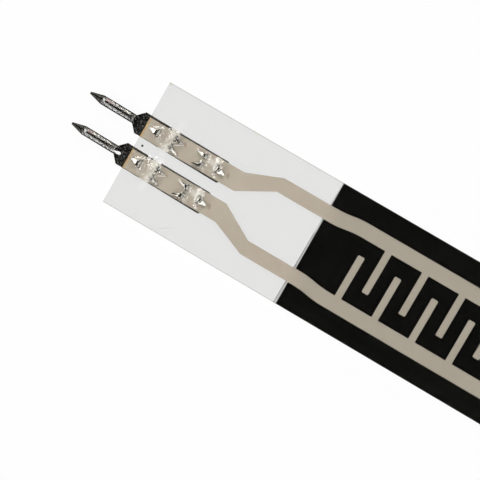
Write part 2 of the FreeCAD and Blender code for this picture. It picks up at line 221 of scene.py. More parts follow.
# %% The teeth and their slots
SINGLE_WIDTH = 0.58
PAIR_WIDTH = 0.41
PAIR_PLACE = 0.325
TEETH = [
    # root, way, width, across
    (0.95, -1, SINGLE_WIDTH, 0.0),
    (2.33, 1, PAIR_WIDTH, PAIR_PLACE),
    (2.33, 1, PAIR_WIDTH, -PAIR_PLACE),
    (4.74, -1, PAIR_WIDTH, PAIR_PLACE),
    (4.74, -1, PAIR_WIDTH, -PAIR_PLACE),
    (5.95, 1, SINGLE_WIDTH, 0.0),
]
SLOT_CLEARANCE = 0.02
LANCE_LENGTH = 0.88
TIP_WIDTH = 0.08


def slot_corners(root, way, width, across):
    """The slot that one tooth's upright part passes through, in the terminal's own place."""
    near = root + way * SLOT_CLEARANCE
    far = root - way * (SHEET + SLOT_CLEARANCE)
    return rectangle(min(near, far), max(near, far), *sides_of(across, width + 2 * SLOT_CLEARANCE))


def slots(side):
    place = terminal_place(side)
    return [[(place @ Vector((x, y, 0))).xy for x, y in slot_corners(*tooth)] for tooth in TEETH]


print(len(TEETH), "teeth and slots on each terminal")


# %% [markdown]
# The film was flat when it was printed, and the teeth have puckered it. It stands up in a low ridge
# across both tabs, in a lip round every slot and in creases between the teeth. Relief that catches
# the light has to be in the mesh, so a height field in millimetres lifts the film, and the silver
# that is printed on it, by the same amount at the same place.

# %% Sizes of the puckers
RIDGE_START, RIDGE_TOP, RIDGE_END = 1.20, 1.98, 2.40
RIDGE_HEIGHT, RIDGE_ROUND, RIDGE_TILT, RIDGE_REACH = 0.105, 0.20, 0.30, 2.6
RIDGE_LEAN, LEAN_RATE = 0.05, 5
RIDGE_WAVER, WAVER_LENGTH, WAVER_WIDTH, WAVER_SEED = 0.045, 1.5, 0.9, 3.7
RIDGE_FREE, RIDGE_FALL = 0.12, 0.34
TAB_HALF = 0.8
LIP_HEIGHT, LIP_HALF = 0.022, 0.10
CREASES = [
    # start x, start y, end x, end y, height, half width
    (0.60, 0.28, 1.14, 0.51, 0.046, 0.080),
    (1.25, -0.40, 1.27, 0.35, 0.020, 0.055),
    (1.60, 0.72, 2.05, 0.66, 0.022, 0.060),
    (4.98, 0.62, 5.08, -0.30, 0.022, 0.075),
    (5.76, 0.70, 5.94, 0.05, 0.062, 0.220),
    (5.80, -0.30, 5.96, -0.62, 0.022, 0.070),
]
CRUMPLE_HEIGHT, CRUMPLE_SIZE, CRUMPLE_REACH = 0.022, 0.15, 0.28
DENTS = [
    # x, y, half length, half width, depth
    (1.72, 0.47, 0.16, 0.09, -0.018),
    (1.72, -0.47, 0.16, 0.09, -0.018),
    (5.30, 0.47, 0.10, 0.08, -0.012),
    (5.30, -0.47, 0.10, 0.08, -0.012),
]
DENT_EDGE = 0.05
print("one ridge,", len(CREASES), "creases and", len(DENTS), "dents at each terminal")


# %% What one terminal does to the film
def bell(distance, half):
    return math.exp(-((distance / half) ** 2))


def soft_step(value):
    value = min(max(value, 0.0), 1.0)
    return value * value * (3 - 2 * value)


def distance_to_line(x, y, x0, y0, x1, y1):
    along = Vector((x1 - x0, y1 - y0))
    share = ((x - x0) * along.x + (y - y0) * along.y) / along.length_squared
    share = min(max(share, 0.0), 1.0)
    return math.hypot(x - x0 - share * along.x, y - y0 - share * along.y)


def ridge(x):
    """Gentle towards the cut end, steep on the other side, with a rounded top and rounded feet."""
    shifts = (-2, -1, 0, 1, 2)
    total = 0.0
    for shift in shifts:
        at = x + shift * RIDGE_ROUND / 4
        up = (at - RIDGE_START) / (RIDGE_TOP - RIDGE_START)
        down = (RIDGE_END - at) / (RIDGE_END - RIDGE_TOP)
        total += max(0.0, min(up, down))
    return RIDGE_HEIGHT * total / len(shifts)


def tab_relief(x, y, seed):
    """What one terminal does to the film, in the terminal's own place."""
    lift = 0.0
    nearest = TAB_PITCH
    for root, way, width, across in TEETH:
        middle = root - way * SHEET / 2
        beside = max(abs(y - across) - width / 2, 0.0)
        before = max(abs(x - middle) - SHEET / 2, 0.0)
        away = math.hypot(before, beside)
        nearest = min(nearest, away)
        lift += LIP_HEIGHT * bell(away, LIP_HALF)
    crumple = noise.noise(Vector((x / CRUMPLE_SIZE, y / CRUMPLE_SIZE, seed)))
    lift += CRUMPLE_HEIGHT * crumple * bell(nearest, CRUMPLE_REACH)
    for x0, y0, x1, y1, height, half in CREASES:
        lift += height * bell(distance_to_line(x, y, x0, y0, x1, y1), half)
    for mid_x, mid_y, half_x, half_y, depth in DENTS:
        edge_x = soft_step((half_x - abs(x - mid_x)) / DENT_EDGE + 0.5)
        edge_y = soft_step((half_y - abs(y - mid_y)) / DENT_EDGE + 0.5)
        lift += depth * edge_x * edge_y
    return lift


# %% The film's height field
TO_TERMINAL = [terminal_place(side).inverted() for side in (LEFT, RIGHT)]
RELIEF_END, RELIEF_FADE, TAB_FADE = 7.4, 0.6, 0.3
CRUMPLE_SEED = 7.3


def film_lift(x, y):
    """How far the film stands above its flat place, in millimetres."""
    tail_x = x - TAIL_END
    if tail_x > RELIEF_END:
        return 0.0
    off_tab = max(abs(abs(y) - TAB_PITCH / 2) - TAB_HALF, 0.0)
    held = RIDGE_FREE + (1 - RIDGE_FREE) * bell(off_tab, RIDGE_FALL)
    off_centre = y - math.copysign(TAB_PITCH / 2, y)
    tilt = 1 + RIDGE_TILT * math.sin(math.pi * min(max(off_centre, -0.5), 0.5))
    waver = RIDGE_WAVER * noise.noise(Vector((tail_x / WAVER_LENGTH, y / WAVER_WIDTH, WAVER_SEED)))
    lean = RIDGE_LEAN * math.sin(LEAN_RATE * y)
    lift = held * tilt * ridge(tail_x - lean - waver) * bell(y, RIDGE_REACH)
    for seed, to_terminal in enumerate(TO_TERMINAL):
        own = to_terminal @ Vector((x, y, 0))
        if abs(own.y) < TAB_PITCH / 2:
            fade = soft_step((TAB_PITCH / 2 - abs(own.y)) / TAB_FADE)
            lift += fade * tab_relief(own.x, own.y, CRUMPLE_SEED * seed)
    return lift * soft_step((RELIEF_END - tail_x) / RELIEF_FADE)


print("the ridge lifts the film %.3f mm" % film_lift(TAIL_END + RIDGE_TOP, TAB_PITCH / 2))


# %% [markdown]
# The clear film runs the whole length of the strip. Its tail is cut a little out of square. The mesh
# is fine where it puckers and coarse where it lies flat.

# %% Clear front film
FINE_STEP, COARSE_STEP, FLAT_STEP, EDGE_CUT = 0.04, 0.15, 0.86, 0.4
FLAT_GAP, FLAT_INSET, FLAT_HALF = 0.4, 0.5, 4.3
film_outline = [
    (TAIL_END + TAIL_SLANT, -HALF_WIDTH),
    (film_high.x, -HALF_WIDTH),
    (film_high.x, HALF_WIDTH),
    (TAIL_END - TAIL_SLANT, HALF_WIDTH),
]
TAB_BAND = 1.05
COARSE_BANDS = [(-4.4, -2.4), (-0.12, 0.12), (2.4, 4.4)]
MESH_INSET = 0.15
relief_start, relief_end = TAIL_END + MESH_INSET, TAIL_END + RELIEF_END
puckered = []
for side in (LEFT, RIGHT):
    band = sides_of(side * TAB_PITCH / 2, 2 * TAB_BAND)
    puckered += grid_points(relief_start, relief_end, *band, FINE_STEP)
for low_y, high_y in COARSE_BANDS:
    puckered += grid_points(relief_start, relief_end, low_y, high_y, COARSE_STEP)
flat_start, flat_end = relief_end + FLAT_GAP, film_high.x - FLAT_INSET
flat_part = grid_points(flat_start, flat_end, -FLAT_HALF, FLAT_HALF, FLAT_STEP)
clear_film = prism(
    "clear_film",
    finely(film_outline, EDGE_CUT),
    film_low.z,
    film_high.z,
    holes=slots(LEFT) + slots(RIGHT),
    inside=puckered + flat_part,
    lift=film_lift,
)
print("clear film", len(clear_film.data.polygons), "faces")

# %% [markdown]
# Each silver comb is one print: a pad under the teeth, a slope out to a trace, an S-bend to the bus
# and a row of fingers. The pad, trace and bus are one outline. The silver is a hair thinner than
# the space it has, so that its face and the film's never share a plane.

# %% Silver combs, the pad and the bus
SEAT = 0.003
FIRST_TAIL = 14.09
SENSING_START = FIRST_TAIL + 3.45
SENSING_END = SENSING_START + 50
PAD_WIDTH, PAD_LENGTH, SLOPE_LENGTH = 1.51, 7.74, 2.64
TRACE_WIDTH, TRACE_OFFSET = 1.09, 2.54
BEND_START, BEND_LENGTH, BEND_CUTS = FIRST_TAIL + 0.54, 2.52, 16
BUS_WIDTH, BUS_OFFSET = 1.075, 2.77
PRINT_SHIFT = -0.035
PRINT_STEP = 0.09


def s_bend(start_y, end_y):
    """Two equal arcs from the trace to the bus."""
    shift = end_y - start_y
    radius = (BEND_LENGTH**2 + shift**2) / (4 * abs(shift))
    points = []
    for index in range(BEND_CUTS + 1):
        x = BEND_LENGTH * index / BEND_CUTS
        near = min(x, BEND_LENGTH - x)
        rise = math.copysign(radius - math.sqrt(radius**2 - near**2), shift)
        y = start_y + rise if x <= BEND_LENGTH / 2 else end_y - rise
        points.append((BEND_START + x, y))
    return points


def comb_outline(side):
    pad_in, pad_out = sides_of(TAB_PITCH / 2, PAD_WIDTH)
    trace_in, trace_out = sides_of(TRACE_OFFSET, TRACE_WIDTH)
    bus_in, bus_out = sides_of(BUS_OFFSET, BUS_WIDTH)
    skew = side * math.tan(TAIL_CUT_SKEW)
    outline = [(-pad_in * skew, pad_in), (PAD_LENGTH, pad_in)]
    outline += [(PAD_LENGTH + SLOPE_LENGTH, trace_in)]
    outline += s_bend(trace_in, bus_in)
    outline += [(SENSING_END, bus_in), (SENSING_END, bus_out)]
    outline += s_bend(trace_out, bus_out)[::-1]
    outline += [(PAD_LENGTH + SLOPE_LENGTH, trace_out)]
    outline += [(PAD_LENGTH, pad_out), (-pad_out * skew, pad_out)]
    return [(TAIL_END + x, side * y + PRINT_SHIFT) for x, y in outline]


def print_layer(name, outline, **more):
    low, high = silver_low.z + SEAT, silver_high.z - SEAT
    return prism(name, finely(outline, PRINT_STEP), low, high, **more)


def comb_blank(side, name):
    pad = sides_of(side * TAB_PITCH / 2 + PRINT_SHIFT, PAD_WIDTH - FINE_STEP)
    fine = grid_points(relief_start, relief_start + PAD_LENGTH - FLAT_GAP, *pad, FINE_STEP)
    return print_layer(name, comb_outline(side), holes=slots(side), inside=fine, lift=film_lift)


print("a comb's outline has", len(comb_outline(LEFT)), "corners before it is cut finely")


# %% [markdown]
# The fingers repeat, so Geometry Nodes make them: one finger is set on a line of points at the pitch,
# the copies are made real and joined to the bus in a union, and a small noise then moves the whole
# print sideways, which roughens its edges as a screen's mesh does.

# %% Helpers for node trees
def is_link(value):
    return isinstance(value, bpy.types.NodeSocket)


def fill(node, inputs):
    """Gives a node's inputs their values, or links where a value is another node's output."""
    for key, value in inputs.items():
        for source in value if isinstance(value, list) else [value]:
            if is_link(source):
                node.id_data.links.new(source, node.inputs[key])
            else:
                node.inputs[key].default_value = source


def add(kind, inputs, output=0, tree=None, **settings):
    """Adds a node to its inputs' own tree, sets it up, and gives one of its outputs."""
    if tree is None:
        tree = next(value.id_data for value in inputs.values() if is_link(value))
    node = tree.nodes.new(kind)
    for key, value in settings.items():
        setattr(node, key, value)
    fill(node, inputs)
    return node.outputs[output]


def new_tree(name, kind, inputs, outputs):
    """A tree with named sockets. Gives the tree, what comes in, and the node that all goes out by."""
    tree = bpy.data.node_groups.new(name, kind)
    for way, sockets in (("INPUT", inputs), ("OUTPUT", outputs)):
        for label, socket in sockets.items():
            tree.interface.new_socket(label, in_out=way, socket_type="NodeSocket" + socket)
    return tree, tree.nodes.new("NodeGroupInput").outputs, tree.nodes.new("NodeGroupOutput")


def calculate(operation, first, second=0.0, clamp=False):
    return add("ShaderNodeMath", {0: first, 1: second}, operation=operation, use_clamp=clamp)


def chain(operation):
    """A function that takes any number of values, two at a time."""
    def combine(first, *others):
        for other in others:
            first = calculate(operation, first, other)
        return first
    return combine


times, plus, most = chain("MULTIPLY"), chain("ADD"), chain("MAXIMUM")


def move(operation, first, second):
    return add("ShaderNodeVectorMath", {0: first, 1: second}, operation=operation)


def scaled(offset, share):
    return add("ShaderNodeVectorMath", {0: offset, "Scale": share}, operation="SCALE")


def vector(**parts):
    return add("ShaderNodeCombineXYZ", parts)


# %% Helpers for geometry trees
def union(pieces):
    tree = pieces[0].id_data
    return add("GeometryNodeMeshBoolean", {"Mesh 2": pieces}, 0, tree, operation="UNION", solver="EXACT")


def made_real(copies):
    return add("GeometryNodeRealizeInstances", {"Geometry": copies})


def paint(geometry, material, result):
    """Makes copies real, gives them their material and sends them out of the tree."""
    painted = add("GeometryNodeSetMaterial", {"Geometry": made_real(geometry), "Material": material})
    fill(result, {"Geometry": painted})


def run_tree(piece, tree, values):
    """Runs a tree on an object and keeps the result as a plain mesh."""
    modifier = piece.modifiers.new(tree.name, "NODES")
    modifier.node_group = tree
    for item in tree.interface.items_tree:
        if item.in_out == "INPUT" and item.name in values:
            modifier[item.identifier] = values[item.name]
    graph = bpy.context.evaluated_depsgraph_get()
    made = bpy.data.meshes.new_from_object(piece.evaluated_get(graph))
    piece.modifiers.remove(modifier)
    made.name = piece.name
    piece.data = made
    return piece


# %% [markdown]
# A finger could be drawn into the comb's outline, but then every change of pitch would mean a new
# outline. As a copy in a tree it has a count, a first place and a spacing, and the two combs differ
# only in those.

# %% Sizes of the fingers
FINGER_WIDTH, FINGER_PITCH, FINGER_LENGTH = 0.51, 1.477, 3.29
FINGER_START = SENSING_START + 0.028
FINGER_CORNER, CORNER_CUTS = 0.08, 5
FINGER_ROOT = 0.2
SCREEN_MESH, SCREEN_REACH, SCREEN_DETAIL = 0.14, 0.03, 2.0
LEVEL = (1, 1, 0)
NOISE_MIDDLE = (0.5, 0.5, 0.5)
print("each comb has a finger every %.3f mm" % (2 * FINGER_PITCH))


# %% Fingers with Geometry Nodes
def comb_tree():
    tree, given, result = new_tree("printed_comb", "GeometryNodeTree", {
        "Geometry": "Geometry", "Finger": "Object", "Fingers": "Int", "First": "Vector",
        "Spacing": "Vector", "Mesh Size": "Float", "Reach": "Float", "Material": "Material",
    }, {"Geometry": "Geometry"})
    row = {"Count": given["Fingers"], "Start Location": given["First"], "Offset": given["Spacing"]}
    line = add("GeometryNodeMeshLine", row)
    finger = add("GeometryNodeObjectInfo", {"Object": given["Finger"]}, "Geometry")
    fingers = add("GeometryNodeInstanceOnPoints", {"Points": line, "Instance": finger})
    comb = union([given["Geometry"], made_real(fingers)])

    level = move("MULTIPLY", add("GeometryNodeInputPosition", {}, 0, tree), LEVEL)
    screen = add("ShaderNodeTexNoise", {
        "Vector": level,
        "Scale": calculate("DIVIDE", 1.0, given["Mesh Size"]),
        "Detail": SCREEN_DETAIL,
    }, "Color")
    sideways = move("MULTIPLY", move("SUBTRACT", screen, NOISE_MIDDLE), LEVEL)
    shift = scaled(sideways, given["Reach"])
    comb = add("GeometryNodeSetPosition", {"Geometry": comb, "Offset": shift})
    paint(comb, given["Material"], result)
    return tree


# %% One finger, and a whole comb
def finger_blank(side):
    """One finger at its own zero, from inside the bus to its rounded tip."""
    shoulder = -(FINGER_LENGTH - FINGER_CORNER)
    corners = [(0, FINGER_ROOT), (0, shoulder)]
    for index in range(1, CORNER_CUTS):
        angle = math.pi / 2 * index / CORNER_CUTS
        x = FINGER_CORNER * (1 - math.cos(angle))
        corners.append((x, shoulder - FINGER_CORNER * math.sin(angle)))
    corners.append((FINGER_CORNER, -FINGER_LENGTH))
    corners += [(FINGER_WIDTH - x, y) for x, y in reversed(corners)]
    return print_layer("finger", [(x, side * y) for x, y in corners])


def silver_comb(side, name, tree, material):
    lag = 0 if side == RIGHT else FINGER_PITCH
    room = SENSING_END - FINGER_START - FINGER_WIDTH - lag
    bus_in = sides_of(BUS_OFFSET, BUS_WIDTH)[0]
    finger = finger_blank(side)
    comb = run_tree(comb_blank(side, name), tree, {
        "Finger": finger,
        "Fingers": math.floor(room / (2 * FINGER_PITCH)) + 1,
        "First": ((TAIL_END + FINGER_START + lag) * MM, (side * bus_in + PRINT_SHIFT) * MM, 0),
        "Spacing": (2 * FINGER_PITCH * MM, 0, 0),
        "Mesh Size": SCREEN_MESH * MM,
        "Reach": SCREEN_REACH * MM,
        "Material": material,
    })
    bpy.data.objects.remove(finger)
    print(name, len(comb.data.polygons), "faces")
    return comb


# %% [markdown]
# A terminal starts as a strip of tinned sheet. Its plate is cut out with six triangular windows. They
# could be cut by booleans, but as holes in the outline they come straight from the list of teeth.
# The punch rounds the plate's edges slightly, so the prism gets a small bevel.

# %% Terminal plate
PLATE_WIDTH, PLATE_LENGTH, PLATE_CORNER = 1.72, 6.45, 0.1
SHOULDER_LENGTH, NECK_LENGTH = 0.5, 0.49
NECK = SHOULDER_LENGTH + NECK_LENGTH
PIN_WIDTH, PIN_HEIGHT = 0.67, 0.52
PUNCHED_EDGE, PUNCHED_ANGLE = 0.012, math.radians(40)


def window_corners(root, way, width, across):
    """The opening that a tooth leaves: as wide as its root, narrow at its end."""
    far = root - way * LANCE_LENGTH
    middle = across + math.copysign((width - TIP_WIDTH) / 2, across) * (across != 0)
    return [
        (root, across - width / 2),
        (root, across + width / 2),
        (far, middle + TIP_WIDTH / 2),
        (far, middle - TIP_WIDTH / 2),
    ]


def plate(name):
    half = PLATE_WIDTH / 2
    lower = [(-NECK, -PIN_WIDTH / 2), (-SHOULDER_LENGTH, -half)]
    lower += [(PLATE_LENGTH - PLATE_CORNER, -half), (PLATE_LENGTH, -half + PLATE_CORNER)]
    windows = [window_corners(*tooth) for tooth in TEETH]
    piece = prism(name, mirrored(lower), 0, SHEET - SEAT, holes=windows)
    bevel = piece.modifiers.new("punched edge", "BEVEL")
    bevel.width = PUNCHED_EDGE * MM
    bevel.segments = 2
    bevel.limit_method = "ANGLE"
    bevel.angle_limit = PUNCHED_ANGLE
    return piece


print("plate %.2f by %.2f mm with %d windows" % (PLATE_LENGTH, PLATE_WIDTH, len(TEETH)))


# %% [markdown]
# A tooth and a pin are both lofts: one closed section after another along a path, joined by walls
# and closed at both ends. A tooth bends up out of the plate, passes the film and curls over until
# its tip bears on it, while it gets thinner and narrower. A modifier could bend a flat one, but a
# path of sections gives each bend its own radius.

# %% Lofts, and values that a point carries
def loft(name, sections):
    """Joins closed sections of as many points each, and closes both ends."""
    count = len(sections[0])
    vertices = [point for section in sections for point in section]
    faces = [tuple(range(count)), tuple(range(len(vertices) - count, len(vertices)))]
    for station in range(len(sections) - 1):
        for i in range(count):
            a = station * count + i
            b = station * count + (i + 1) % count
            faces.append((a, b, b + count, a + count))
    piece = new_object(name, vertices, faces, smooth=False)
    work = bmesh.new()
    work.from_mesh(piece.data)
    bmesh.ops.recalc_face_normals(work, faces=work.faces)
    work.to_mesh(piece.data)
    work.free()
    return piece


def add_attributes(piece, columns):
    for label, values in columns.items():
        attribute = piece.data.attributes.new(label, "FLOAT", "POINT")
        attribute.data.foreach_set("value", values)
    return piece


# %% A tooth's path
TIP_SHEET = 0.05
CROWN, CROWN_RISE = 0.12, 3
TOOTH_BENDS = [
    # length and the slope at its end in degrees, from the top of the film to the tip
    (0.05, 90),
    (0.11, 6),
    (0.14, 2),
    (0.05, -9),
    (0.39, -12),
    (0.10, -45),
]
BEND_STATIONS, RISE_STATIONS, CURL_STEP = 5, 3, 0.02
FOOT_LENGTH = 0.1
TOOTH_SECTION = [
    # sideways and up, as shares of half the width and half the sheet
    (-1, -1), (0, -1), (1, -1), (1, 0.4), (0.82, 1), (0, 1), (-0.82, 1), (-1, 0.4),
]


def tooth_path():
    """Centre points and slopes in degrees, for a root at zero that curls to +X."""
    radius = SHEET / 2
    stations = [(FOOT_LENGTH, SHEET / 2, 180.0)]
    for index in range(BEND_STATIONS + 1):
        angle = math.pi / 2 * index / BEND_STATIONS
        slope = 180 - math.degrees(angle)
        stations.append((-radius * math.sin(angle), SHEET - radius * math.cos(angle), slope))
    film_top = film_high.z - plate_low
    for index in range(1, RISE_STATIONS + 1):
        stations.append((-radius, SHEET + (film_top - SHEET) * index / RISE_STATIONS, 90.0))
    x, z, slope = stations[-1]
    for length, end_slope in TOOTH_BENDS:
        steps = max(1, round(length / CURL_STEP))
        turn = (end_slope - slope) / steps
        for _ in range(steps):
            heading = math.radians(slope + turn / 2)
            x += length / steps * math.cos(heading)
            z += length / steps * math.sin(heading)
            slope += turn
            stations.append((x, z, slope))
    return stations


print("a tooth's path has", len(tooth_path()), "stations")


# %% One curled tooth
def tooth_blank():
    """A tooth one millimetre wide at its root. Along is 0 there and 1 at its tip, across is sideways."""
    path = tooth_path()
    curl_start = BEND_STATIONS + RISE_STATIONS + 1
    curl_count = len(path) - 1 - curl_start
    sections = []
    along, across = [], []
    for station, (x, z, slope) in enumerate(path):
        share = max(0, station - curl_start) / curl_count
        heading = math.radians(slope)
        out_x, out_z = -math.sin(heading), math.cos(heading)
        half_sheet = (SHEET * (1 - share) + TIP_SHEET * share) / 2
        half_width = (1 - share) / 2 + TIP_WIDTH * share
        crown = CROWN * half_sheet * min(1.0, share * CROWN_RISE)
        section = []
        for sideways, up in TOOTH_SECTION:
            out = up * half_sheet + (crown if sideways == 0 and up > 0 else 0)
            section.append((x + out_x * out, sideways * half_width, z + out_z * out))
            across.append(sideways)
        sections.append(section)
        along.extend([share] * len(section))
    return add_attributes(loft("tooth", sections), {"along": along, "across": across})


# %% [markdown]
# The pin is rolled from the same sheet. Its section is a floor, two sides and two edges that curl in
# until they meet in a seam along the top. The roll opens out towards the neck, and the point is
# pressed together. A plain round bar would lose the seam and the open roll. Sections every tenth of
# a millimetre keep the change smooth.

# %% The rolled pin
ROLL_START = -(NECK - SHEET)
ROLL_END = -(NECK + 0.45)
PIN_END = -(NECK + 2.66)
POINT_END = PIN_END - 1.04
POINT_SIZE = 0.16
SEAM_START, SEAM_GAP, CURL_GAP = 0.42, 0.02, 0.01
ROLL_HEIGHT = 0.2
PIN_FOOT, FOOT_CUTS, CURL_CUTS = 0.1, 3, 12
ROLL_CUTS, POINT_CUTS = 34, 14


def pin_section(x, width, height, gap, wall):
    half = width / 2
    curl = (width - gap) / 4
    inner = half - wall
    spring = height - curl
    crown = half - curl
    foot = PIN_FOOT * width / PIN_WIDTH
    outline = []
    for index in range(FOOT_CUTS + 1):
        angle = math.pi / 2 * index / FOOT_CUTS
        outline.append((half - foot + foot * math.sin(angle), foot - foot * math.cos(angle)))
    for index in range(CURL_CUTS + 1):
        angle = math.pi * index / CURL_CUTS
        outline.append((crown + curl * math.cos(angle), spring + curl * math.sin(angle)))
    outline += [(inner * 0.5 + gap / 4, spring), (inner, spring), (inner, wall)]
    other_half = [(-y, z) for y, z in reversed(outline)]
    return [(x, y, z) for y, z in outline + other_half]


def rolled_pin(name, wedge):
    """Wedge is how far past the roll the seam stays open."""
    sections = []
    stations = [ROLL_START + (PIN_END - ROLL_START) * i / ROLL_CUTS for i in range(ROLL_CUTS + 1)]
    stations += [PIN_END + (POINT_END - PIN_END) * i / POINT_CUTS for i in range(1, POINT_CUTS + 1)]
    for x in stations:
        rolled = soft_step((ROLL_START - x) / (ROLL_START - ROLL_END))
        closed = soft_step((ROLL_START - x) / (ROLL_START - ROLL_END + wedge))
        pointed = max(0.0, (PIN_END - x) / (PIN_END - POINT_END))
        width = PIN_WIDTH + (POINT_SIZE - PIN_WIDTH) * pointed
        height = ROLL_HEIGHT + (PIN_HEIGHT - ROLL_HEIGHT) * rolled
        height = height + (POINT_SIZE - height) * pointed
        gap = SEAM_START + (SEAM_GAP - SEAM_START) * closed
        gap = gap * width / PIN_WIDTH
        wall = min(SHEET - SEAT, height - (width - gap) / 4 - CURL_GAP)
        wall = wall * width / PIN_WIDTH
        sections.append(pin_section(x, width, height, gap, wall))
    return loft(name, sections)


print("pin %.2f mm long from the neck to its tip" % (-NECK - POINT_END))


# %% [markdown]
# The teeth repeat, so Geometry Nodes set them on the plate. Six points carry each tooth's way and
# width, and how the crimping tool left it: how far its tip leans, how much it is arched and how far
# it is rolled to one side. No two are alike. A copy of the tooth is turned and stretched at each
# point, the copies are made real and bent, and plate, teeth and pin become one skin in a union, as
# they are one sheet on the real thing.

# %% How each tooth was left
CRIMPED = {
    # lean, arch and roll of each tooth, in millimetres
    LEFT: [
        (0.02, 0.0, 0.0),
        (-0.10, 0.0, -0.04),
        (-0.36, 0.05, 0.0),
        (0.08, 0.0, 0.0),
        (-0.28, 0.0, 0.07),
        (-0.14, 0.0, 0.0),
    ],
    RIGHT: [
        (0.04, 0.0, 0.0),
        (-0.08, 0.0, -0.03),
        (-0.38, 0.04, 0.02),
        (0.10, 0.0, 0.02),
        (-0.26, 0.0, 0.02),
        (-0.08, 0.03, 0.0),
    ],
}

print("teeth lean %.2f mm at most" % max(abs(row[0]) for side in CRIMPED.values() for row in side))

# %% Terminals with Geometry Nodes
LEVEL_FACE = 0.999


def stamping_tree():
    tree, given, result = new_tree("stamped_terminal", "GeometryNodeTree", {
        "Geometry": "Geometry", "Tooth": "Object", "Plate": "Object", "Pin": "Object",
        "Material": "Material",
    }, {"Geometry": "Geometry"})

    def attribute(name):
        named = {"Name": name}
        return add("GeometryNodeInputNamedAttribute", named, "Attribute", tree, data_type="FLOAT")

    def shape(label):
        return add("GeometryNodeObjectInfo", {"Object": given[label]}, "Geometry")

    teeth = add("GeometryNodeInstanceOnPoints", {
        "Points": given["Geometry"],
        "Instance": shape("Tooth"),
        "Rotation": vector(Z=attribute("turn")),
        "Scale": vector(X=1.0, Y=attribute("width"), Z=1.0),
    })
    along = attribute("along")
    rest = calculate("SUBTRACT", 1.0, along)
    sideways = times(attribute("lean"), along)
    arched = times(attribute("arch"), times(along, rest))
    rolled = times(attribute("roll"), attribute("across"), along)
    offset = vector(Y=sideways, Z=plus(arched, rolled))
    bent = add("GeometryNodeSetPosition", {"Geometry": made_real(teeth), "Offset": offset})
    paint(union([shape("Plate"), shape("Pin"), bent]), given["Material"], result)
    return tree


# %% A terminal from its parts
def tooth_points(name, side):
    piece = new_object(name, [(root, across, 0) for root, _, _, across in TEETH], [], smooth=False)
    return add_attributes(piece, {
        "turn": [0.0 if way > 0 else math.pi for _, way, _, _ in TEETH],
        "width": [width for _, _, width, _ in TEETH],
        "lean": [lean * MM for lean, _, _ in CRIMPED[side]],
        "arch": [arch * MM for _, arch, _ in CRIMPED[side]],
        "roll": [roll * MM for _, _, roll in CRIMPED[side]],
    })


def terminal(side, name, wedge, tree, material):
    helpers = {"Tooth": tooth_blank(), "Plate": plate("plate"), "Pin": rolled_pin("pin", wedge)}
    piece = run_tree(tooth_points(name, side), tree, {**helpers, "Material": material})
    for helper in helpers.values():
        bpy.data.objects.remove(helper)
    place = terminal_place(side)
    place.translation *= MM
    piece.data.transform(place)
    faces = piece.data.polygons
    faces.foreach_set("use_smooth", [True] * len(faces))
    piece.data.set_sharp_from_angle(angle=SHARP)
    faces.foreach_set("use_smooth", [abs(face.normal.z) <= LEVEL_FACE for face in faces])
    print(name, len(faces), "faces")
    return piece


# %% [markdown]
# Five finishes are seen here: clear film, printed silver, printed black ink, tinned metal and paper.
# What they share are mottling and marks. A painted picture could carry both, but it would blur close
# up and wouldn't follow the sizes above. Real prints and metals are never one even tone, so one
# shader group makes a soft noise of a given size. Another puts a short line anywhere, which is a
# scratch, a speck when it has no length, a worn spot, a painted highlight or a painted shadow. Each
# is built once and set in every material with its own values, in millimetres.

# %% Shared groups: mottling and marks
NOISE_DETAIL, NOISE_ROUGHNESS = 3.0, 0.6


def step_up(value, start, end, low=0.0, high=1.0):
    """A soft step from low to high as the value goes from start to end."""
    values = {"Value": value, "From Min": start, "From Max": end, "To Min": low, "To Max": high}
    return add("ShaderNodeMapRange", values, interpolation_type="SMOOTHSTEP")


def mottling_group():
    sockets = {"Place": "Vector", "Size": "Float", "Low": "Float", "High": "Float"}
    group, given, result = new_tree("mottling", "ShaderNodeTree", sockets, {"Value": "Float"})
    noise_value = add("ShaderNodeTexNoise", {
        "Vector": given["Place"],
        "Scale": calculate("DIVIDE", 1.0, given["Size"]),
        "Detail": NOISE_DETAIL,
        "Roughness": NOISE_ROUGHNESS,
    }, "Fac")
    fill(result, {"Value": step_up(noise_value, given["Low"], given["High"])})
    return group


def line_mark_group():
    """1 within half a width of the line from start to end, and 0 beyond its soft edge."""
    group, given, result = new_tree("line mark", "ShaderNodeTree", {
        "Place": "Vector", "Start": "Vector", "End": "Vector",
        "Half Width": "Float", "Soft Edge": "Float",
    }, {"Mask": "Float"})

    def vector_value(operation, inputs):
        return add("ShaderNodeVectorMath", inputs, "Value", operation=operation)

    line = move("SUBTRACT", given["End"], given["Start"])
    offset = move("SUBTRACT", given["Place"], given["Start"])
    along = vector_value("DOT_PRODUCT", {0: offset, 1: line})
    squared = vector_value("DOT_PRODUCT", {0: line, 1: line})
    share = calculate("DIVIDE", along, squared, clamp=True)
    distance = vector_value("LENGTH", {0: move("SUBTRACT", offset, scaled(line, share))})
    edge = plus(given["Half Width"], given["Soft Edge"])
    fill(result, {"Mask": step_up(distance, edge, given["Half Width"])})
    return group


mottling = mottling_group()
line_mark = line_mark_group()
print("shader groups", mottling.name, "and", line_mark.name)

# %% Helpers for materials
def new_material(name):
    material = bpy.data.materials.new(name)
    material.use_nodes = True
    return material, material.node_tree


def dress(material, values):
    """Sets the inputs of the material's shader."""
    nodes = material.node_tree.nodes
    fill(nodes["Principled BSDF"], values)
    print(material.name, len(nodes), "nodes")


def mix_surface(share, other):
    """Mixes another surface with the material's own one."""
    nodes = share.id_data.nodes
    own_surface = nodes["Principled BSDF"].outputs["BSDF"]
    mixed = add("ShaderNodeMixShader", {"Fac": share, 1: own_surface, 2: other})
    fill(nodes["Material Output"], {"Surface": mixed})


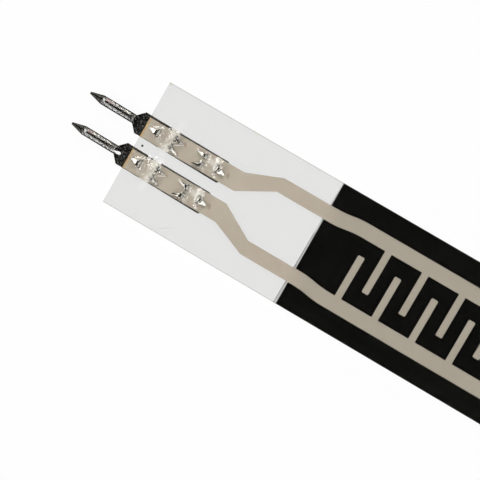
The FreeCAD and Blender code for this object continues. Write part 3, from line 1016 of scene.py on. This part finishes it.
def let_lamps_through(tree, colour):
    """Light for shadows passes straight through, so that what lies under clear film is lit."""
    clear = add("ShaderNodeBsdfTransparent", {"Color": colour}, 0, tree)
    mix_surface(add("ShaderNodeLightPath", {}, "Is Shadow Ray", tree), clear)


# %% Places on the object
def axes_of(place):
    return add("ShaderNodeSeparateXYZ", {"Vector": place}).node.outputs


def place_mm(tree, flat=True):
    """The place on the object in millimetres, without its height if it is flat."""
    place = add("ShaderNodeTexCoord", {}, "Object", tree)
    return move("MULTIPLY", place, (1 / MM, 1 / MM, 0 if flat else 1 / MM))


def from_tail(place):
    """The place measured from the tail's cut end."""
    return move("SUBTRACT", place, (TAIL_END, 0, 0))


def terminal_own(place):
    """The place measured from the nearer terminal's zero: along it, across it, and its side."""
    centred = move("SUBTRACT", place, (TAIL_END + CRIMP_CENTRE, 0, 0))
    turned = {"Vector": centred, "Angle": CRIMP_SKEW}
    crimp = axes_of(add("ShaderNodeVectorRotate", turned, rotation_type="Z_AXIS"))
    along = plus(crimp["X"], CRIMP_CENTRE)
    side = calculate("SIGN", crimp["Y"])
    across = calculate("SUBTRACT", crimp["Y"], times(side, TAB_PITCH / 2))
    return vector(X=along, Y=across), along, across, side


# %% Mottling, marks and layers of colour
def mottle(place, size, low=0.35, high=0.65):
    """Size is the mottling's grain, and low and high are where the noise starts and counts in full."""
    values = {"Place": place, "Size": size, "Low": low, "High": high}
    return add("ShaderNodeGroup", values, node_tree=mottling)


def marks(place, half_width, soft_edge, lines):
    """All marks of one kind in one mask. A line has a start x and y and an end x and y."""
    return most(*[
        add("ShaderNodeGroup", {
            "Place": place,
            "Start": (x0, y0, 0),
            "End": (x1, y1, 0),
            "Half Width": half_width,
            "Soft Edge": soft_edge,
        }, node_tree=line_mark)
        for x0, y0, x1, y1 in lines
    ])


def blend(share, first, second):
    """A colour between two colours."""
    return add("ShaderNodeMix", {0: share, 6: first, 7: second}, 2, data_type="RGBA")


def grey(level, blue):
    """A grey, whose blue may differ to make it warm."""
    return (level, level, blue, 1)


def layered(colour, layers):
    """Colours laid over one another, each by its own share."""
    for share, over in layers:
        colour = blend(share, colour, over)
    return colour


def within(mask, low, high=1.0):
    """A mask, 0 to 1, brought between two other values."""
    return step_up(mask, 0, 1, low, high)


def bumps(height, depth_mm, strength=1.0):
    return add("ShaderNodeBump", {"Height": height, "Distance": depth_mm * MM, "Strength": strength})


# %% [markdown]
# The film is clear polyester, a little grey because it is thick for a film. It is made as glass, not
# as a faint transparent colour, so that it mirrors the room and tints what it covers. The lamps'
# shadow rays pass it, because glass otherwise casts a full shadow in Cycles. The bend over the
# terminals has dulled its gloss, and where the ridge there catches the lamps its tint is painted
# lighter, a painted highlight. Handling has left a few scuffs, stains and a speck, and its cut edges
# are painted darker, a painted shade for the light they send aside.

# %% Clear film
FILM_COLOUR = (0.825, 0.825, 0.82, 1)
FILM_CLOUDED = (0.80, 0.80, 0.79, 1)
FILM_PAINTED_GLARE = (0.88, 0.88, 0.87, 1)
FILM_EDGE_SHADE = (0.55, 0.55, 0.53, 1)
FILM_SCUFFED = (0.6, 0.6, 0.58, 1)
FILM_STAINED = (0.62, 0.57, 0.40, 1)
FILM_SPECKLED = (0.03, 0.03, 0.03, 1)
EDGE_SHADE_STEP = HALF_WIDTH - 0.07, HALF_WIDTH - 0.02
# grain, and where the noise starts and counts in full
UNEVEN = 0.35, 0.3, 0.6
WRINKLES = 0.16, 0.2, 0.8
# half width, soft edge and lines, from the tail's cut end
SPECKS = 0.07, 0.03, [(0.5, -0.03, 0.5, -0.03)]
STAINS = 0.04, 0.08, [(0, 4.80, 0.05, 4.75), (6.95, 4.82, 7.25, 4.82)]
SCUFFS = 0.02, 0.05, [
    (3.7, -4.79, 4.3, -4.79),
    (2.42, -3.18, 2.42, -3.18),
    (3.9, 3.75, 4.1, 3.95),
    (4.55, -4.5, 5.25, -3.95),
    (7.4, 2.5, 7.6, 2.6),
    (6.9, 4.8, 7.3, 4.8),
]
# the same, in a terminal's own place
RIDGE_GLARE = 0.03, 0.4, [(2.1, -0.2, 2.3, 0.65)]
RIDGE_GLARE_BESIDE = 0.04, 0.4, [(2.0, -1.3, 2.2, 1.35)]
BENT = 0.02, 0.6, [(2.0, -0.6, 2.2, 0.7)]
BENT_AT_END = 0.08, 0.35, [(5.70, 0.60, 5.90, -0.20)]
# how much of each shows in the colour or the gloss
CLOUD_SHARE, SCUFF_SHARE, STAIN_SHARE, GLARE_BESIDE_SHARE = 0.15, 0.35, 0.6, 0.7
FILM_GLOSS, DULLED = 0.03, 0.3
CLOUD_GRAIN, LEAST_UNEVEN, WRINKLE_DEPTH = 0.5, 0.3, 0.006
POLYESTER = {"Transmission Weight": 1.0, "IOR": 1.5}

film_material, tree = new_material("clear film")
place = place_mm(tree)
tail = from_tail(place)
own = terminal_own(place)[0]
# painted shade: a darker band along both long edges of the film
edge = step_up(calculate("ABSOLUTE", axes_of(place)["Y"]), *EDGE_SHADE_STEP)
scuffs = marks(tail, *SCUFFS)
uneven = within(mottle(own, *UNEVEN), LEAST_UNEVEN)
# painted highlight: where the ridge catches the lamps, the film's tint is painted lighter
ridge_glare = most(marks(own, *RIDGE_GLARE), times(marks(own, *RIDGE_GLARE_BESIDE), GLARE_BESIDE_SHARE))
bent = most(marks(own, *BENT), marks(own, *BENT_AT_END))
bent = times(bent, uneven)
colour = layered(FILM_COLOUR, [
    (times(mottle(place, CLOUD_GRAIN), CLOUD_SHARE), FILM_CLOUDED),
    (times(ridge_glare, uneven), FILM_PAINTED_GLARE),
    (edge, FILM_EDGE_SHADE),
    (times(scuffs, SCUFF_SHARE), FILM_SCUFFED),
    (times(marks(tail, *STAINS), STAIN_SHARE), FILM_STAINED),
    (marks(tail, *SPECKS), FILM_SPECKLED),
])
wrinkles = times(mottle(place, *WRINKLES), bent)
dress(film_material, {
    "Base Color": colour,
    "Roughness": plus(times(bent, DULLED), times(scuffs, DULLED), FILM_GLOSS),
    "Normal": bumps(wrinkles, WRINKLE_DEPTH),
    **POLYESTER,
})
let_lamps_through(tree, grey(0.96, 0.96))

# %% [markdown]
# The silver is screen-printed paste, a matt grey with a warm cast, slightly darker where black ink
# lies behind it. The mesh of the screen leaves a fine unevenness. Air has tarnished the print along
# its cut end, which shows as an amber line over each terminal. Where the film bends over the ridge
# the print is painted paler, a painted glow for the light the ridge catches, and near the teeth it
# gets pale flecks, partly crazing and partly painted glints. Painted highlights run along the
# creases, with painted shadows beside them, and the print is mottled darker near the teeth. Such
# places are short lists of lines in millimetres, so each can be moved by hand and stays sharp in a
# close view.

# %% Colours and places of the print
SILVER_TAIL = (0.45, 0.405, 0.322, 1)
SILVER_TRACE = (0.425, 0.375, 0.298, 1)
SILVER_BUS = (0.36, 0.32, 0.258, 1)
SILVER_DULL = (0.36, 0.32, 0.25, 1)
SILVER_BLUSH = (0.45, 0.37, 0.305, 1)
SILVER_SHADED = (0.28, 0.18, 0.13, 1)
SILVER_PAINTED_GLOW = (0.68, 0.645, 0.57, 1)
SILVER_GLINT = (0.88, 0.85, 0.78, 1)
SILVER_DARKER = (0.20, 0.165, 0.12, 1)
AMBER = (0.44, 0.29, 0.13, 1)
# from the tail's cut end
PAST_PADS = 7.0, 10.5
OVER_INK = 13.9, 15.5
CUT_END = 0.11, 0.05, [(-TAIL_SLANT, HALF_WIDTH, TAIL_SLANT, -HALF_WIDTH)]
# grain, and where the noise starts and counts in full
SILVER_GRAIN, SILVER_PATCHES, TARNISH = 0.09, 1.4, 0.22
BLUSH = 0.55, 0.4, 0.65
RIDGE_GLOW_UNEVEN = 0.3, 0.3, 0.62
CRAZING_AND_GLINTS = 0.14, 0.50, 0.56
DARKER_MOTTLE = 0.12, 0.54, 0.60
DARKER_MOTTLE_OFFSET = (3.1, 1.7, 0)

# %% Marks on the print
# half width, soft edge and lines, in a terminal's own place
RIDGE_GLOW = 0.12, 0.3, [(1.88, -1, 2.06, 1)]
GLOW_PATCHES = 0.07, 0.22, [
    (1.85, 0.70, 2.25, 0.42),
    (1.9, -0.62, 2.1, -0.68),
    (5.6, 0.55, 5.8, 0.0),
    (5.2, 0.25, 5.75, 0.1),
]
GLINT_SPECKS = 0.05, 0.05, [
    (4.66, -0.58, 4.70, -0.55),
    (4.95, 0.47, 4.97, 0.45),
    (4.95, -0.50, 4.97, -0.48),
    (2.28, -0.14, 2.36, -0.20),
    (6.00, -0.62, 6.10, -0.58),
    (1.60, 0.62, 1.75, 0.60),
    (1.55, -0.55, 1.60, -0.50),
]
# painted highlights along creases in the film and print
CREASE_GLINTS = 0.025, 0.025, [
    (2.55, -0.05, 3.04, 0.20),
    (0.55, 0.26, 1.12, 0.50),
    (3.98, 0.52, 4.12, 0.46),
    (4.62, -0.16, 4.76, -0.22),
]
# painted shadows beside those creases
CREASE_SHADOWS = 0.04, 0.12, [
    (3.09, 0.28, 3.13, 0.24),
    (6.80, 0.08, 6.86, -0.12),
    (4.62, -0.66, 4.68, -0.50),
]
REACH_FAR, REACH_NEAR = 0.25, 0.1
TOOTH_REACHES = 0.16, 0.26, [
    (root - way * REACH_FAR, across - width / 2, root - way * REACH_NEAR, across + width / 2)
    for root, way, width, across in TEETH
]
# how much of each shows in the colour
DULL_SHARE, BLUSH_SHARE, SHADE_SHARE, DARKER_SHARE, CRAZING_AND_GLINT_SHARE = 0.12, 0.7, 0.6, 0.6, 0.85
GLOW_LEAST, GLOW_MOST, LEAST_TARNISH = 0.05, 0.8, 0.65
# two places across a terminal, and how much of the painted ridge glow shows at each
GLOW_SIDES = -0.6, 0.4, 0.5, 1.0
SILVER_SMOOTH, SILVER_ROUGH, SILVER_DEPTH = 0.5, 0.7, 0.004

# counts the painted crease highlights and the painted shadows beside them
print(len(CREASE_GLINTS[2]), "torn edges and", len(CREASE_SHADOWS[2]), "shadows under them")

# %% Printed silver
silver_material, tree = new_material("silver print")
place = place_mm(tree)
tail = from_tail(place)
tail_x = axes_of(tail)["X"]
own, _, across, _ = terminal_own(place)
over_ink = step_up(tail_x, *OVER_INK)
grain = mottle(place, SILVER_GRAIN)
blush = times(mottle(place, *BLUSH), BLUSH_SHARE)
# painted highlight: the print is painted paler where the ridge catches the lamps
ridge_glow = times(
    marks(own, *RIDGE_GLOW),
    within(mottle(own, *RIDGE_GLOW_UNEVEN), GLOW_LEAST, GLOW_MOST),
    step_up(across, *GLOW_SIDES),
)
near_teeth = marks(own, *TOOTH_REACHES)
# pale flecks near the teeth, partly crazed print and partly painted glints
crazing_and_glints = times(mottle(own, *CRAZING_AND_GLINTS), near_teeth, CRAZING_AND_GLINT_SHARE)
painted_glow = most(ridge_glow, marks(own, *GLOW_PATCHES), crazing_and_glints, marks(own, *GLINT_SPECKS))
# the print is mottled darker near the teeth
darker_mottle = mottle(move("ADD", own, DARKER_MOTTLE_OFFSET), *DARKER_MOTTLE)
tarnish = within(mottle(place, TARNISH), LEAST_TARNISH)
# the glow, the glints along creases and the shadows beside them are painted light and shade
colour = layered(SILVER_TAIL, [
    (step_up(tail_x, *PAST_PADS), SILVER_TRACE),
    (over_ink, SILVER_BUS),
    (times(plus(grain, mottle(place, SILVER_PATCHES)), DULL_SHARE), SILVER_DULL),
    (calculate("SUBTRACT", blush, over_ink, clamp=True), SILVER_BLUSH),
    (times(marks(own, *CREASE_SHADOWS), SHADE_SHARE), SILVER_SHADED),
    (painted_glow, SILVER_PAINTED_GLOW),
    (marks(own, *CREASE_GLINTS), SILVER_GLINT),
    (times(darker_mottle, near_teeth, DARKER_SHARE), SILVER_DARKER),
    (times(marks(tail, *CUT_END), tarnish), AMBER),
])
dress(silver_material, {
    "Base Color": colour,
    "Roughness": within(grain, SILVER_SMOOTH, SILVER_ROUGH),
    "Normal": bumps(grain, SILVER_DEPTH, strength=0.5),
    "Specular IOR Level": 0.3,
})

# %% [markdown]
# The ink is carbon in a binder: very dark, with a faint speckle. Its gloss is low, so that the open
# window and the adhesive around it look equally black through the film, as they do in the photo.

# %% Black ink
INK_COLOUR = (0.0029, 0.0029, 0.0022, 1)
INK_SPECKLED = (0.0045, 0.0045, 0.0038, 1)
INK_SPECKLES = 0.08, 0.5, 0.8
INK_PATCHES = 2.2, 0.3, 0.7
INK_SMOOTH, INK_ROUGH, INK_DEPTH = 0.6, 0.75, 0.003

ink_material, tree = new_material("black ink")
place = place_mm(tree)
speckles = mottle(place, *INK_SPECKLES)
share = times(plus(speckles, mottle(place, *INK_PATCHES)), 0.5)
dress(ink_material, {
    "Base Color": blend(share, INK_COLOUR, INK_SPECKLED),
    "Roughness": within(speckles, INK_SMOOTH, INK_ROUGH),
    "Normal": bumps(speckles, INK_DEPTH, strength=0.4),
    "Specular IOR Level": 0.01,
})

# %% [markdown]
# The terminals are tinned sheet. The flat shoulders mirror the dark room above and look almost
# black. The rolled pins show bright flecks along both ridges of the roll, partly rubbed tin and
# partly painted highlight, and their sides, neck and point are painted darker as painted shade.
# They have a dull patch and a painted highlight, a white spot, before the point; the right pin has
# a painted white wedge at its neck. The teeth are rubbed, with painted highlights on them and on the
# plate's long edges, and painted shade in their bends and creases. All of that is placed in the
# terminals' own place, and heights keep each mark to the top.

# %% Colours and places on the tin
TIN_FLAT = (0.62, 0.59, 0.53, 1)
TIN_WORN = (0.06, 0.057, 0.048, 1)
TIN_PAINTED_SHADE = (0.07, 0.067, 0.058, 1)
TIN_RUBBED_AND_LIT = (0.78, 0.76, 0.70, 1)
TIN_PIN = (0.16, 0.155, 0.145, 1)
TIN_GRAIN = (0.70, 0.70, 0.69, 1)
TIN_FLECK_HIGHLIGHT = (0.95, 0.89, 0.79, 1)
TIN_PATCH = (0.45, 0.36, 0.34, 1)
TIN_FLANK_SHADE = (0.03, 0.028, 0.025, 1)
TIN_PAINTED_GLINT = (0.97, 0.97, 0.96, 1)
# where each stretch starts and is full, along a terminal
ON_PLATE = 0.0, 0.1
ON_NECK = -0.4, -0.8
ON_PIN = -1.0, -1.14
ON_POINT = PIN_END + 0.12, PIN_END - 0.05
# and in height, or sideways
ABOVE_PLATE = plate_low + 0.07, plate_low + 0.12
ABOVE_ROLL = plate_low + 0.22, plate_low + 0.32
ABOVE_FILM = film_high.z + 0.01, film_high.z + 0.04
ON_FLANK = 0.24, 0.28
# two places along a terminal, and how much of the speckle or the wear shows at each
SPECKLE_OFF_PLATE = 0.2, -0.1, 0.0, 1.0
SPECKLE_ON_PIN = -1.2, -0.9, 1.0, 0.6
SPECKLE_ON_POINT = -3.75, -3.6, 0.3, 1.0
WORN_ON_PLATE = *ON_PLATE, 1.0, 0.3
# grain, and where the noise starts and counts in full
FLECKS = 0.10, 0.47, 0.55
GRAIN = 0.085, 0.50, 0.58
SPECKLES = 0.13, 0.56, 0.63
BEND_SHADE_MOTTLE = 0.07, 0.38, 0.5
RUBBED = 0.2, 0.45, 0.51
RUBBED_OFFSET = (1.7, 0.4, 0)
WORN = 0.14, 0.43, 0.52
DIMPLES = 0.07, 0.2, 0.8
STRETCH = (0.55, 1, 1)
SPECKLE_SHARE, PLATE_LIT_SHARE = 0.6, 0.8
TIN_SHINY, TIN_ROUGH, PATCH_ROUGH, GLINT_ROUGH, DIMPLE_DEPTH = 0.17, 0.55, 0.5, 0.6, 0.012

# %% Marks on the tin
# half width, soft edge and lines, in a terminal's own place
UPPER_RIDGE_HIGHLIGHT = 0.05, 0.05, [(-3.1, 0.19, -1.1, 0.19)]
LOWER_RIDGE_HIGHLIGHT = 0.07, 0.06, [(-3.3, -0.18, -1.1, -0.18)]
DULL_PATCH = 0.08, 0.05, [(-3.28, 0.16, -3.0, 0.15)]
GLINT_SPOT = 0.09, 0.03, [(-3.52, 0.03, -3.52, 0.03)]
WEDGE_GLINT = 0.05, 0.03, [(-1.2, -0.17, -0.6, -0.08)]
WEDGE_GLINT_WIDE = 0.095, 0.03, [(-0.82, -0.12, -0.64, -0.09)]
PLATE_LIT = 0.07, 0.12, [(1.80, 0.84, 2.18, 0.84), (1.60, -0.84, 2.08, -0.84)]
TOOTH_LIT = 0.07, 0.04, [
    (0.46, -0.11, 0.50, -0.10),
    (2.68, -0.48, 2.80, -0.58),
    (4.18, 0.40, 4.42, 0.30),
    (4.08, -0.50, 4.50, -0.34),
    (6.56, -0.15, 6.60, -0.17),
]
TOOTH_SHADE = 0.038, 0.03, [
    (0.68, -0.20, 0.92, -0.16),
    (0.80, -0.20, 0.84, 0.12),
    (2.62, 0.20, 2.66, 0.17),
    (2.50, -0.32, 2.66, -0.50),
    (2.87, -0.45, 3.00, -0.58),
    (4.50, 0.15, 4.53, 0.20),
    (4.60, 0.42, 4.68, 0.30),
    (4.00, -0.58, 4.56, -0.46),
    (6.14, -0.10, 6.20, 0.14),
    (6.36, -0.18, 6.40, -0.26),
]
TOOTH_BEND_SHADE = 0.05, 0.04, [
    (root, across - width / 2, root, across + width / 2)
    for root, way, width, across in TEETH
]

# counts the painted highlights and the painted shade on the teeth
print(sum(len(kind[2]) for kind in (TOOTH_LIT, TOOTH_SHADE)), "rubbed and dark places on the teeth")

# %% Tinned sheet
tin_material, tree = new_material("tinned sheet")
own, along, across, side = terminal_own(place_mm(tree))
height = axes_of(place_mm(tree, flat=False))["Z"]
deep = vector(X=along, Y=across, Z=height)
on_plate = step_up(along, *ON_PLATE)
on_pin = step_up(along, *ON_PIN)
on_neck = calculate("SUBTRACT", step_up(along, *ON_NECK), on_pin)
on_top = step_up(height, *ABOVE_PLATE)
on_roll = step_up(height, *ABOVE_ROLL)
on_teeth = times(step_up(height, *ABOVE_FILM), on_plate)
# painted shade: the pin's sides are painted darker
flank_shade = times(step_up(calculate("ABSOLUTE", across), *ON_FLANK), on_pin)

stretched = move("MULTIPLY", deep, STRETCH)
# partly rubbed tin, partly painted highlight: bright flecks along the upper ridge, grey grain along the
# lower
fleck_and_highlight = times(mottle(stretched, *FLECKS), marks(own, *UPPER_RIDGE_HIGHLIGHT))
grain = times(mottle(deep, *GRAIN), marks(own, *LOWER_RIDGE_HIGHLIGHT))
speckle = times(
    mottle(deep, *SPECKLES),
    SPECKLE_SHARE,
    step_up(along, *SPECKLE_OFF_PLATE),
    step_up(along, *SPECKLE_ON_PIN),
    step_up(along, *SPECKLE_ON_POINT),
)
patch = times(marks(own, *DULL_PATCH), on_roll)
on_right = calculate("LESS_THAN", side, 0.0)
# painted highlights: a white spot before the point, and a white wedge at the right pin's neck
wedge = times(most(marks(own, *WEDGE_GLINT), marks(own, *WEDGE_GLINT_WIDE)), on_top, on_right)
painted_glint = most(times(marks(own, *GLINT_SPOT), on_roll), wedge)

# painted shade in the teeth's bends and creases
bend_shade = times(marks(own, *TOOTH_BEND_SHADE), mottle(deep, *BEND_SHADE_MOTTLE))
tooth_shade = times(most(marks(own, *TOOTH_SHADE), bend_shade), on_teeth)
# partly rubbed tin, partly painted highlights on the teeth and along the plate's edges
rubbed_and_lit = mottle(move("ADD", deep, RUBBED_OFFSET), *RUBBED)
rubbed_and_lit = times(most(rubbed_and_lit, marks(own, *TOOTH_LIT)), on_teeth)
rubbed_and_lit = most(rubbed_and_lit, times(marks(own, *PLATE_LIT), PLATE_LIT_SHARE, on_top))
rubbed_and_lit = calculate("SUBTRACT", rubbed_and_lit, tooth_shade, clamp=True)
worn = times(mottle(deep, *WORN), step_up(along, *WORN_ON_PLATE))
# the neck and the point are painted darker, as painted shade
colour = layered(TIN_FLAT, [
    (worn, TIN_WORN),
    (tooth_shade, TIN_PAINTED_SHADE),
    (rubbed_and_lit, TIN_RUBBED_AND_LIT),
    (on_pin, TIN_PIN),
    (most(on_neck, step_up(along, *ON_POINT)), TIN_PAINTED_SHADE),
    (speckle, TIN_GRAIN),
    (grain, TIN_GRAIN),
    (fleck_and_highlight, TIN_FLECK_HIGHLIGHT),
    (patch, TIN_PATCH),
    (flank_shade, TIN_FLANK_SHADE),
    (painted_glint, TIN_PAINTED_GLINT),
])
rough = within(most(fleck_and_highlight, grain, speckle, rubbed_and_lit), TIN_SHINY, TIN_ROUGH)
dimples = times(mottle(deep, *DIMPLES), on_pin)
dress(tin_material, {
    "Base Color": colour,
    "Roughness": most(rough, times(patch, PATCH_ROUGH), times(painted_glint, GLINT_ROUGH)),
    "Metallic": calculate("SUBTRACT", 1.0, painted_glint),
    "Specular Tint": grey(0.3, 0.3),
    "Normal": bumps(dimples, DIMPLE_DEPTH),
})

# %% [markdown]
# The layers behind the front film show only as lines at their edges and from below: the back film,
# clear adhesive, milky adhesive and the smooth off-white paper that is peeled off for mounting. A
# soft mottling of colour and gloss is enough for them.

# %% The layers behind
BASE_EDGE_SHADE = (0.12, 0.12, 0.11, 1)
CUT_EDGE_SHADE = 0.03, 0.03, [(liner_low.x, -HALF_WIDTH, liner_low.x, 0.8)]
PAPER_LIGHT, PAPER_DARK = (0.86, 0.85, 0.81, 1), (0.80, 0.78, 0.73, 1)
ALONG_FIBRES = (0.35, 1, 1)

base_material, tree = new_material("back film")
place = place_mm(tree)
cloudy = mottle(place, size=0.8)
colour = blend(cloudy, grey(0.99, 0.98), grey(0.96, 0.95))
dress(base_material, {
    # painted shade: a dark line along the back film's cut edge
    "Base Color": blend(marks(place, *CUT_EDGE_SHADE), colour, BASE_EDGE_SHADE),
    "Roughness": within(cloudy, low=0.06, high=0.12),
    **POLYESTER,
})
let_lamps_through(tree, grey(0.97, 0.97))

spacer_material, tree = new_material("clear adhesive")
cloudy = mottle(place_mm(tree), size=0.6)
dress(spacer_material, {
    "Base Color": blend(cloudy, grey(0.99, 0.99), grey(0.97, 0.97)),
    "Roughness": within(cloudy, low=0.04, high=0.1),
    "Transmission Weight": 1.0,
    "IOR": 1.1,
})
let_lamps_through(tree, grey(0.98, 0.98))

rear_material, tree = new_material("milky adhesive")
cloudy = mottle(place_mm(tree), size=0.4)
dress(rear_material, {
    "Base Color": blend(cloudy, grey(0.96, 0.95), grey(0.90, 0.88)),
    "Roughness": within(cloudy, low=0.35, high=0.55),
    "Normal": bumps(cloudy, depth_mm=0.01, strength=0.5),
})

liner_material, tree = new_material("release paper")
place = place_mm(tree)
fibres = mottle(move("MULTIPLY", place, ALONG_FIBRES), size=0.12)
share = times(plus(fibres, mottle(place, size=3.0)), 0.5)
dress(liner_material, {
    "Base Color": blend(share, PAPER_LIGHT, PAPER_DARK),
    "Roughness": within(fibres, low=0.4, high=0.6),
    "Normal": bumps(fibres, depth_mm=0.006, strength=0.6),
})

# %% [markdown]
# Between the films lies a frame of clear adhesive. It is made again as a prism, because a face of
# it in the same plane as the ink or the film would flicker: it is a hair thinner than its space.

# %% Adhesive frame
spacer_low, spacer_high = box_mm("spacer_adhesive")
WINDOW_HALF, VENT_HALF, WINDOW_MARGIN = 2.55, 0.3, 0.8


def adhesive_frame(name):
    """A frame round the sensing area, cut through by the vent to the tail."""
    window_start = TAIL_END + SENSING_START - WINDOW_MARGIN
    window_end = TAIL_END + SENSING_END + WINDOW_MARGIN
    outside = [(spacer_low.x, -VENT_HALF), (spacer_low.x, -HALF_WIDTH), (spacer_high.x, -HALF_WIDTH)]
    window = [(window_start, VENT_HALF), (window_start, WINDOW_HALF), (window_end, WINDOW_HALF)]
    outline = mirrored(outside) + mirrored(window)
    return prism(name, outline, spacer_low.z + SEAT, silver_low.z - SEAT)


adhesive = adhesive_frame("adhesive_frame")
adhesive.data.materials.append(spacer_material)
print("adhesive frame", len(adhesive.data.polygons), "faces")

# %% [markdown]
# The combs and terminals come out of their trees as plain meshes, one for each solid that they
# stand for. The solids that are hardly seen keep their own mesh and get only a material. Each new
# piece is tied to the body, and the solid that it replaces is hidden.

# %% Build the pieces and give each its material
WEDGE_LEFT, WEDGE_RIGHT = 0.1, 0.35
comb_nodes, stamping_nodes = comb_tree(), stamping_tree()
silver_left = silver_comb(LEFT, "silver_print_left", comb_nodes, silver_material)
silver_right = silver_comb(RIGHT, "silver_print_right", comb_nodes, silver_material)
tab_left = terminal(LEFT, "solder_tab_left", WEDGE_LEFT, stamping_nodes, tin_material)
tab_right = terminal(RIGHT, "solder_tab_right", WEDGE_RIGHT, stamping_nodes, tin_material)
clear_film.data.materials.append(film_material)

KEPT_NODES = {
    "resistive_ink": ink_material,
    "base_film": base_material,
    "rear_adhesive": rear_material,
    "release_liner": liner_material,
}
for node, material in KEPT_NODES.items():
    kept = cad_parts[node]
    kept.data.materials.clear()
    kept.data.materials.append(material)

REPLACED = [
    (clear_film, "conductive_film", "clear_film"),
    (silver_left, "silver_comb_left", "silver_print"),
    (silver_right, "silver_comb_right", "silver_print"),
    (adhesive, "spacer_adhesive", "spacer_adhesive"),
    (tab_left, "terminal_left", "tinned_metal"),
    (tab_right, "terminal_right", "tinned_metal"),
]
for piece, node, slot_name in REPLACED:
    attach(piece, "root")
    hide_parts(node)
print(len(REPLACED), "solids rebuilt,", len(KEPT_NODES), "kept")

# %% [markdown]
# The photo shows the strip on plain white. The floor glows white for the camera, and for what metal
# and glass show of it, while a small share of it stays an ordinary surface and keeps the shadow.

# %% Floor
FLOOR_HALF, FLOOR_GAP = 2000, 0.01
FLOOR_GLOW = 0.93
corners = rectangle(-FLOOR_HALF, FLOOR_HALF, -FLOOR_HALF, FLOOR_HALF)
floor = new_object("floor", [(x, y, -FLOOR_GAP) for x, y in corners], [(0, 1, 2, 3)], smooth=False)
floor_material, tree = new_material("white floor")
dress(floor_material, {"Base Color": grey(0.88, 0.88), "Roughness": 0.9, "Specular IOR Level": 0.1})
glow = add("ShaderNodeEmission", {"Color": grey(1, 1), "Strength": 1.0}, 0, tree)
path = add("ShaderNodeLightPath", {}, 0, tree).node.outputs
seen = most(path["Is Camera Ray"], path["Is Glossy Ray"], path["Is Transmission Ray"])
mix_surface(times(seen, FLOOR_GLOW), glow)
floor.data.materials.append(floor_material)
print("floor %.0f m wide" % (2 * FLOOR_HALF * MM))

# %% [markdown]
# The metal in the photo is black where it lies flat and white where it slopes: the room was dark
# straight above, and softboxes stood around. So four soft lamps stand round the tail, and the world
# is white low down, dim above and nearly black at its top, where the flat faces mirror it.

# %% Lamps
LAMP_DISTANCE, LAMP_SIZE, LAMP_BRIGHTNESS = 0.6, 0.2, 7.0
LAMPS = {
    # azimuth from +X towards +Y, and angle from straight above, in degrees
    "lamp over the pins": (180, 35),
    "lamp over the far end": (0, 23),
    "lamp on the left": (112, 42),
    "lamp on the right": (-112, 42),
}
for name, (azimuth, from_zenith) in LAMPS.items():
    around = math.radians(azimuth)
    down = math.radians(from_zenith)
    away = Vector((math.cos(around) * math.sin(down), math.sin(around) * math.sin(down), math.cos(down)))
    lamp = bpy.data.lights.new(name, "AREA")
    lamp.shape = "SQUARE"
    lamp.size = LAMP_SIZE
    lamp.energy = LAMP_BRIGHTNESS * math.pi * LAMP_SIZE**2
    softbox = place_in_scene(name, lamp)
    softbox.location = Vector((TAIL_END * MM, 0, 0)) + away * LAMP_DISTANCE
    softbox.rotation_euler = (-away).to_track_quat("-Z", "Y").to_euler()
print(len(LAMPS), "lamps")

# %% World
WALL_TOP, ROOM_START, ROOM_END, CEILING_START = 0.22, 0.32, 0.84, 0.92
ROOM_LEVEL, CEILING_LEVEL = 0.18, 0.012
world = bpy.data.worlds.new("studio")
world.use_nodes = True
bpy.context.scene.world = world
tree = world.node_tree
up_share = axes_of(add("ShaderNodeTexCoord", {}, "Generated", tree))["Z"]
walls = step_up(up_share, WALL_TOP, ROOM_START, 1.0, ROOM_LEVEL)
ceiling = step_up(up_share, ROOM_END, CEILING_START, 0.0, ROOM_LEVEL - CEILING_LEVEL)
level = calculate("SUBTRACT", walls, ceiling)
level = most(level, add("ShaderNodeLightPath", {}, "Is Camera Ray", tree))
fill(tree.nodes["Background"], {"Color": grey(1, 1), "Strength": level})
print("world", len(tree.nodes), "nodes")

# %% [markdown]
# The camera stands nearly straight above the tail, turned so that the strip runs down to the right
# and leaves the picture, as in the photo. Its axes are worked out from two places and one turn,
# because a tracking constraint wouldn't let it roll.

# %% Camera
CAMERA_PLACE = Vector((-24.735, -2.574, 98.499)) * MM
CAMERA_TARGET = Vector((-32.663, -2.276, 0.4)) * MM
CAMERA_TURN = math.radians(30.55)
camera = place_in_scene("camera", bpy.data.cameras.new("camera"))
camera.data.lens = 105
camera.data.sensor_width = 36
camera.data.clip_start = 0.005
camera.data.clip_end = 20
back = (CAMERA_PLACE - CAMERA_TARGET).normalized()
up = Vector((-math.sin(CAMERA_TURN), math.cos(CAMERA_TURN), 0))
right = up.cross(back).normalized()
turned = Matrix((right, back.cross(right), back)).transposed().to_4x4()
camera.matrix_world = Matrix.Translation(CAMERA_PLACE) @ turned
bpy.context.scene.camera = camera
bpy.context.scene.view_settings.view_transform = "Standard"
print("camera", round((CAMERA_PLACE - CAMERA_TARGET).length / MM), "mm from the tail")
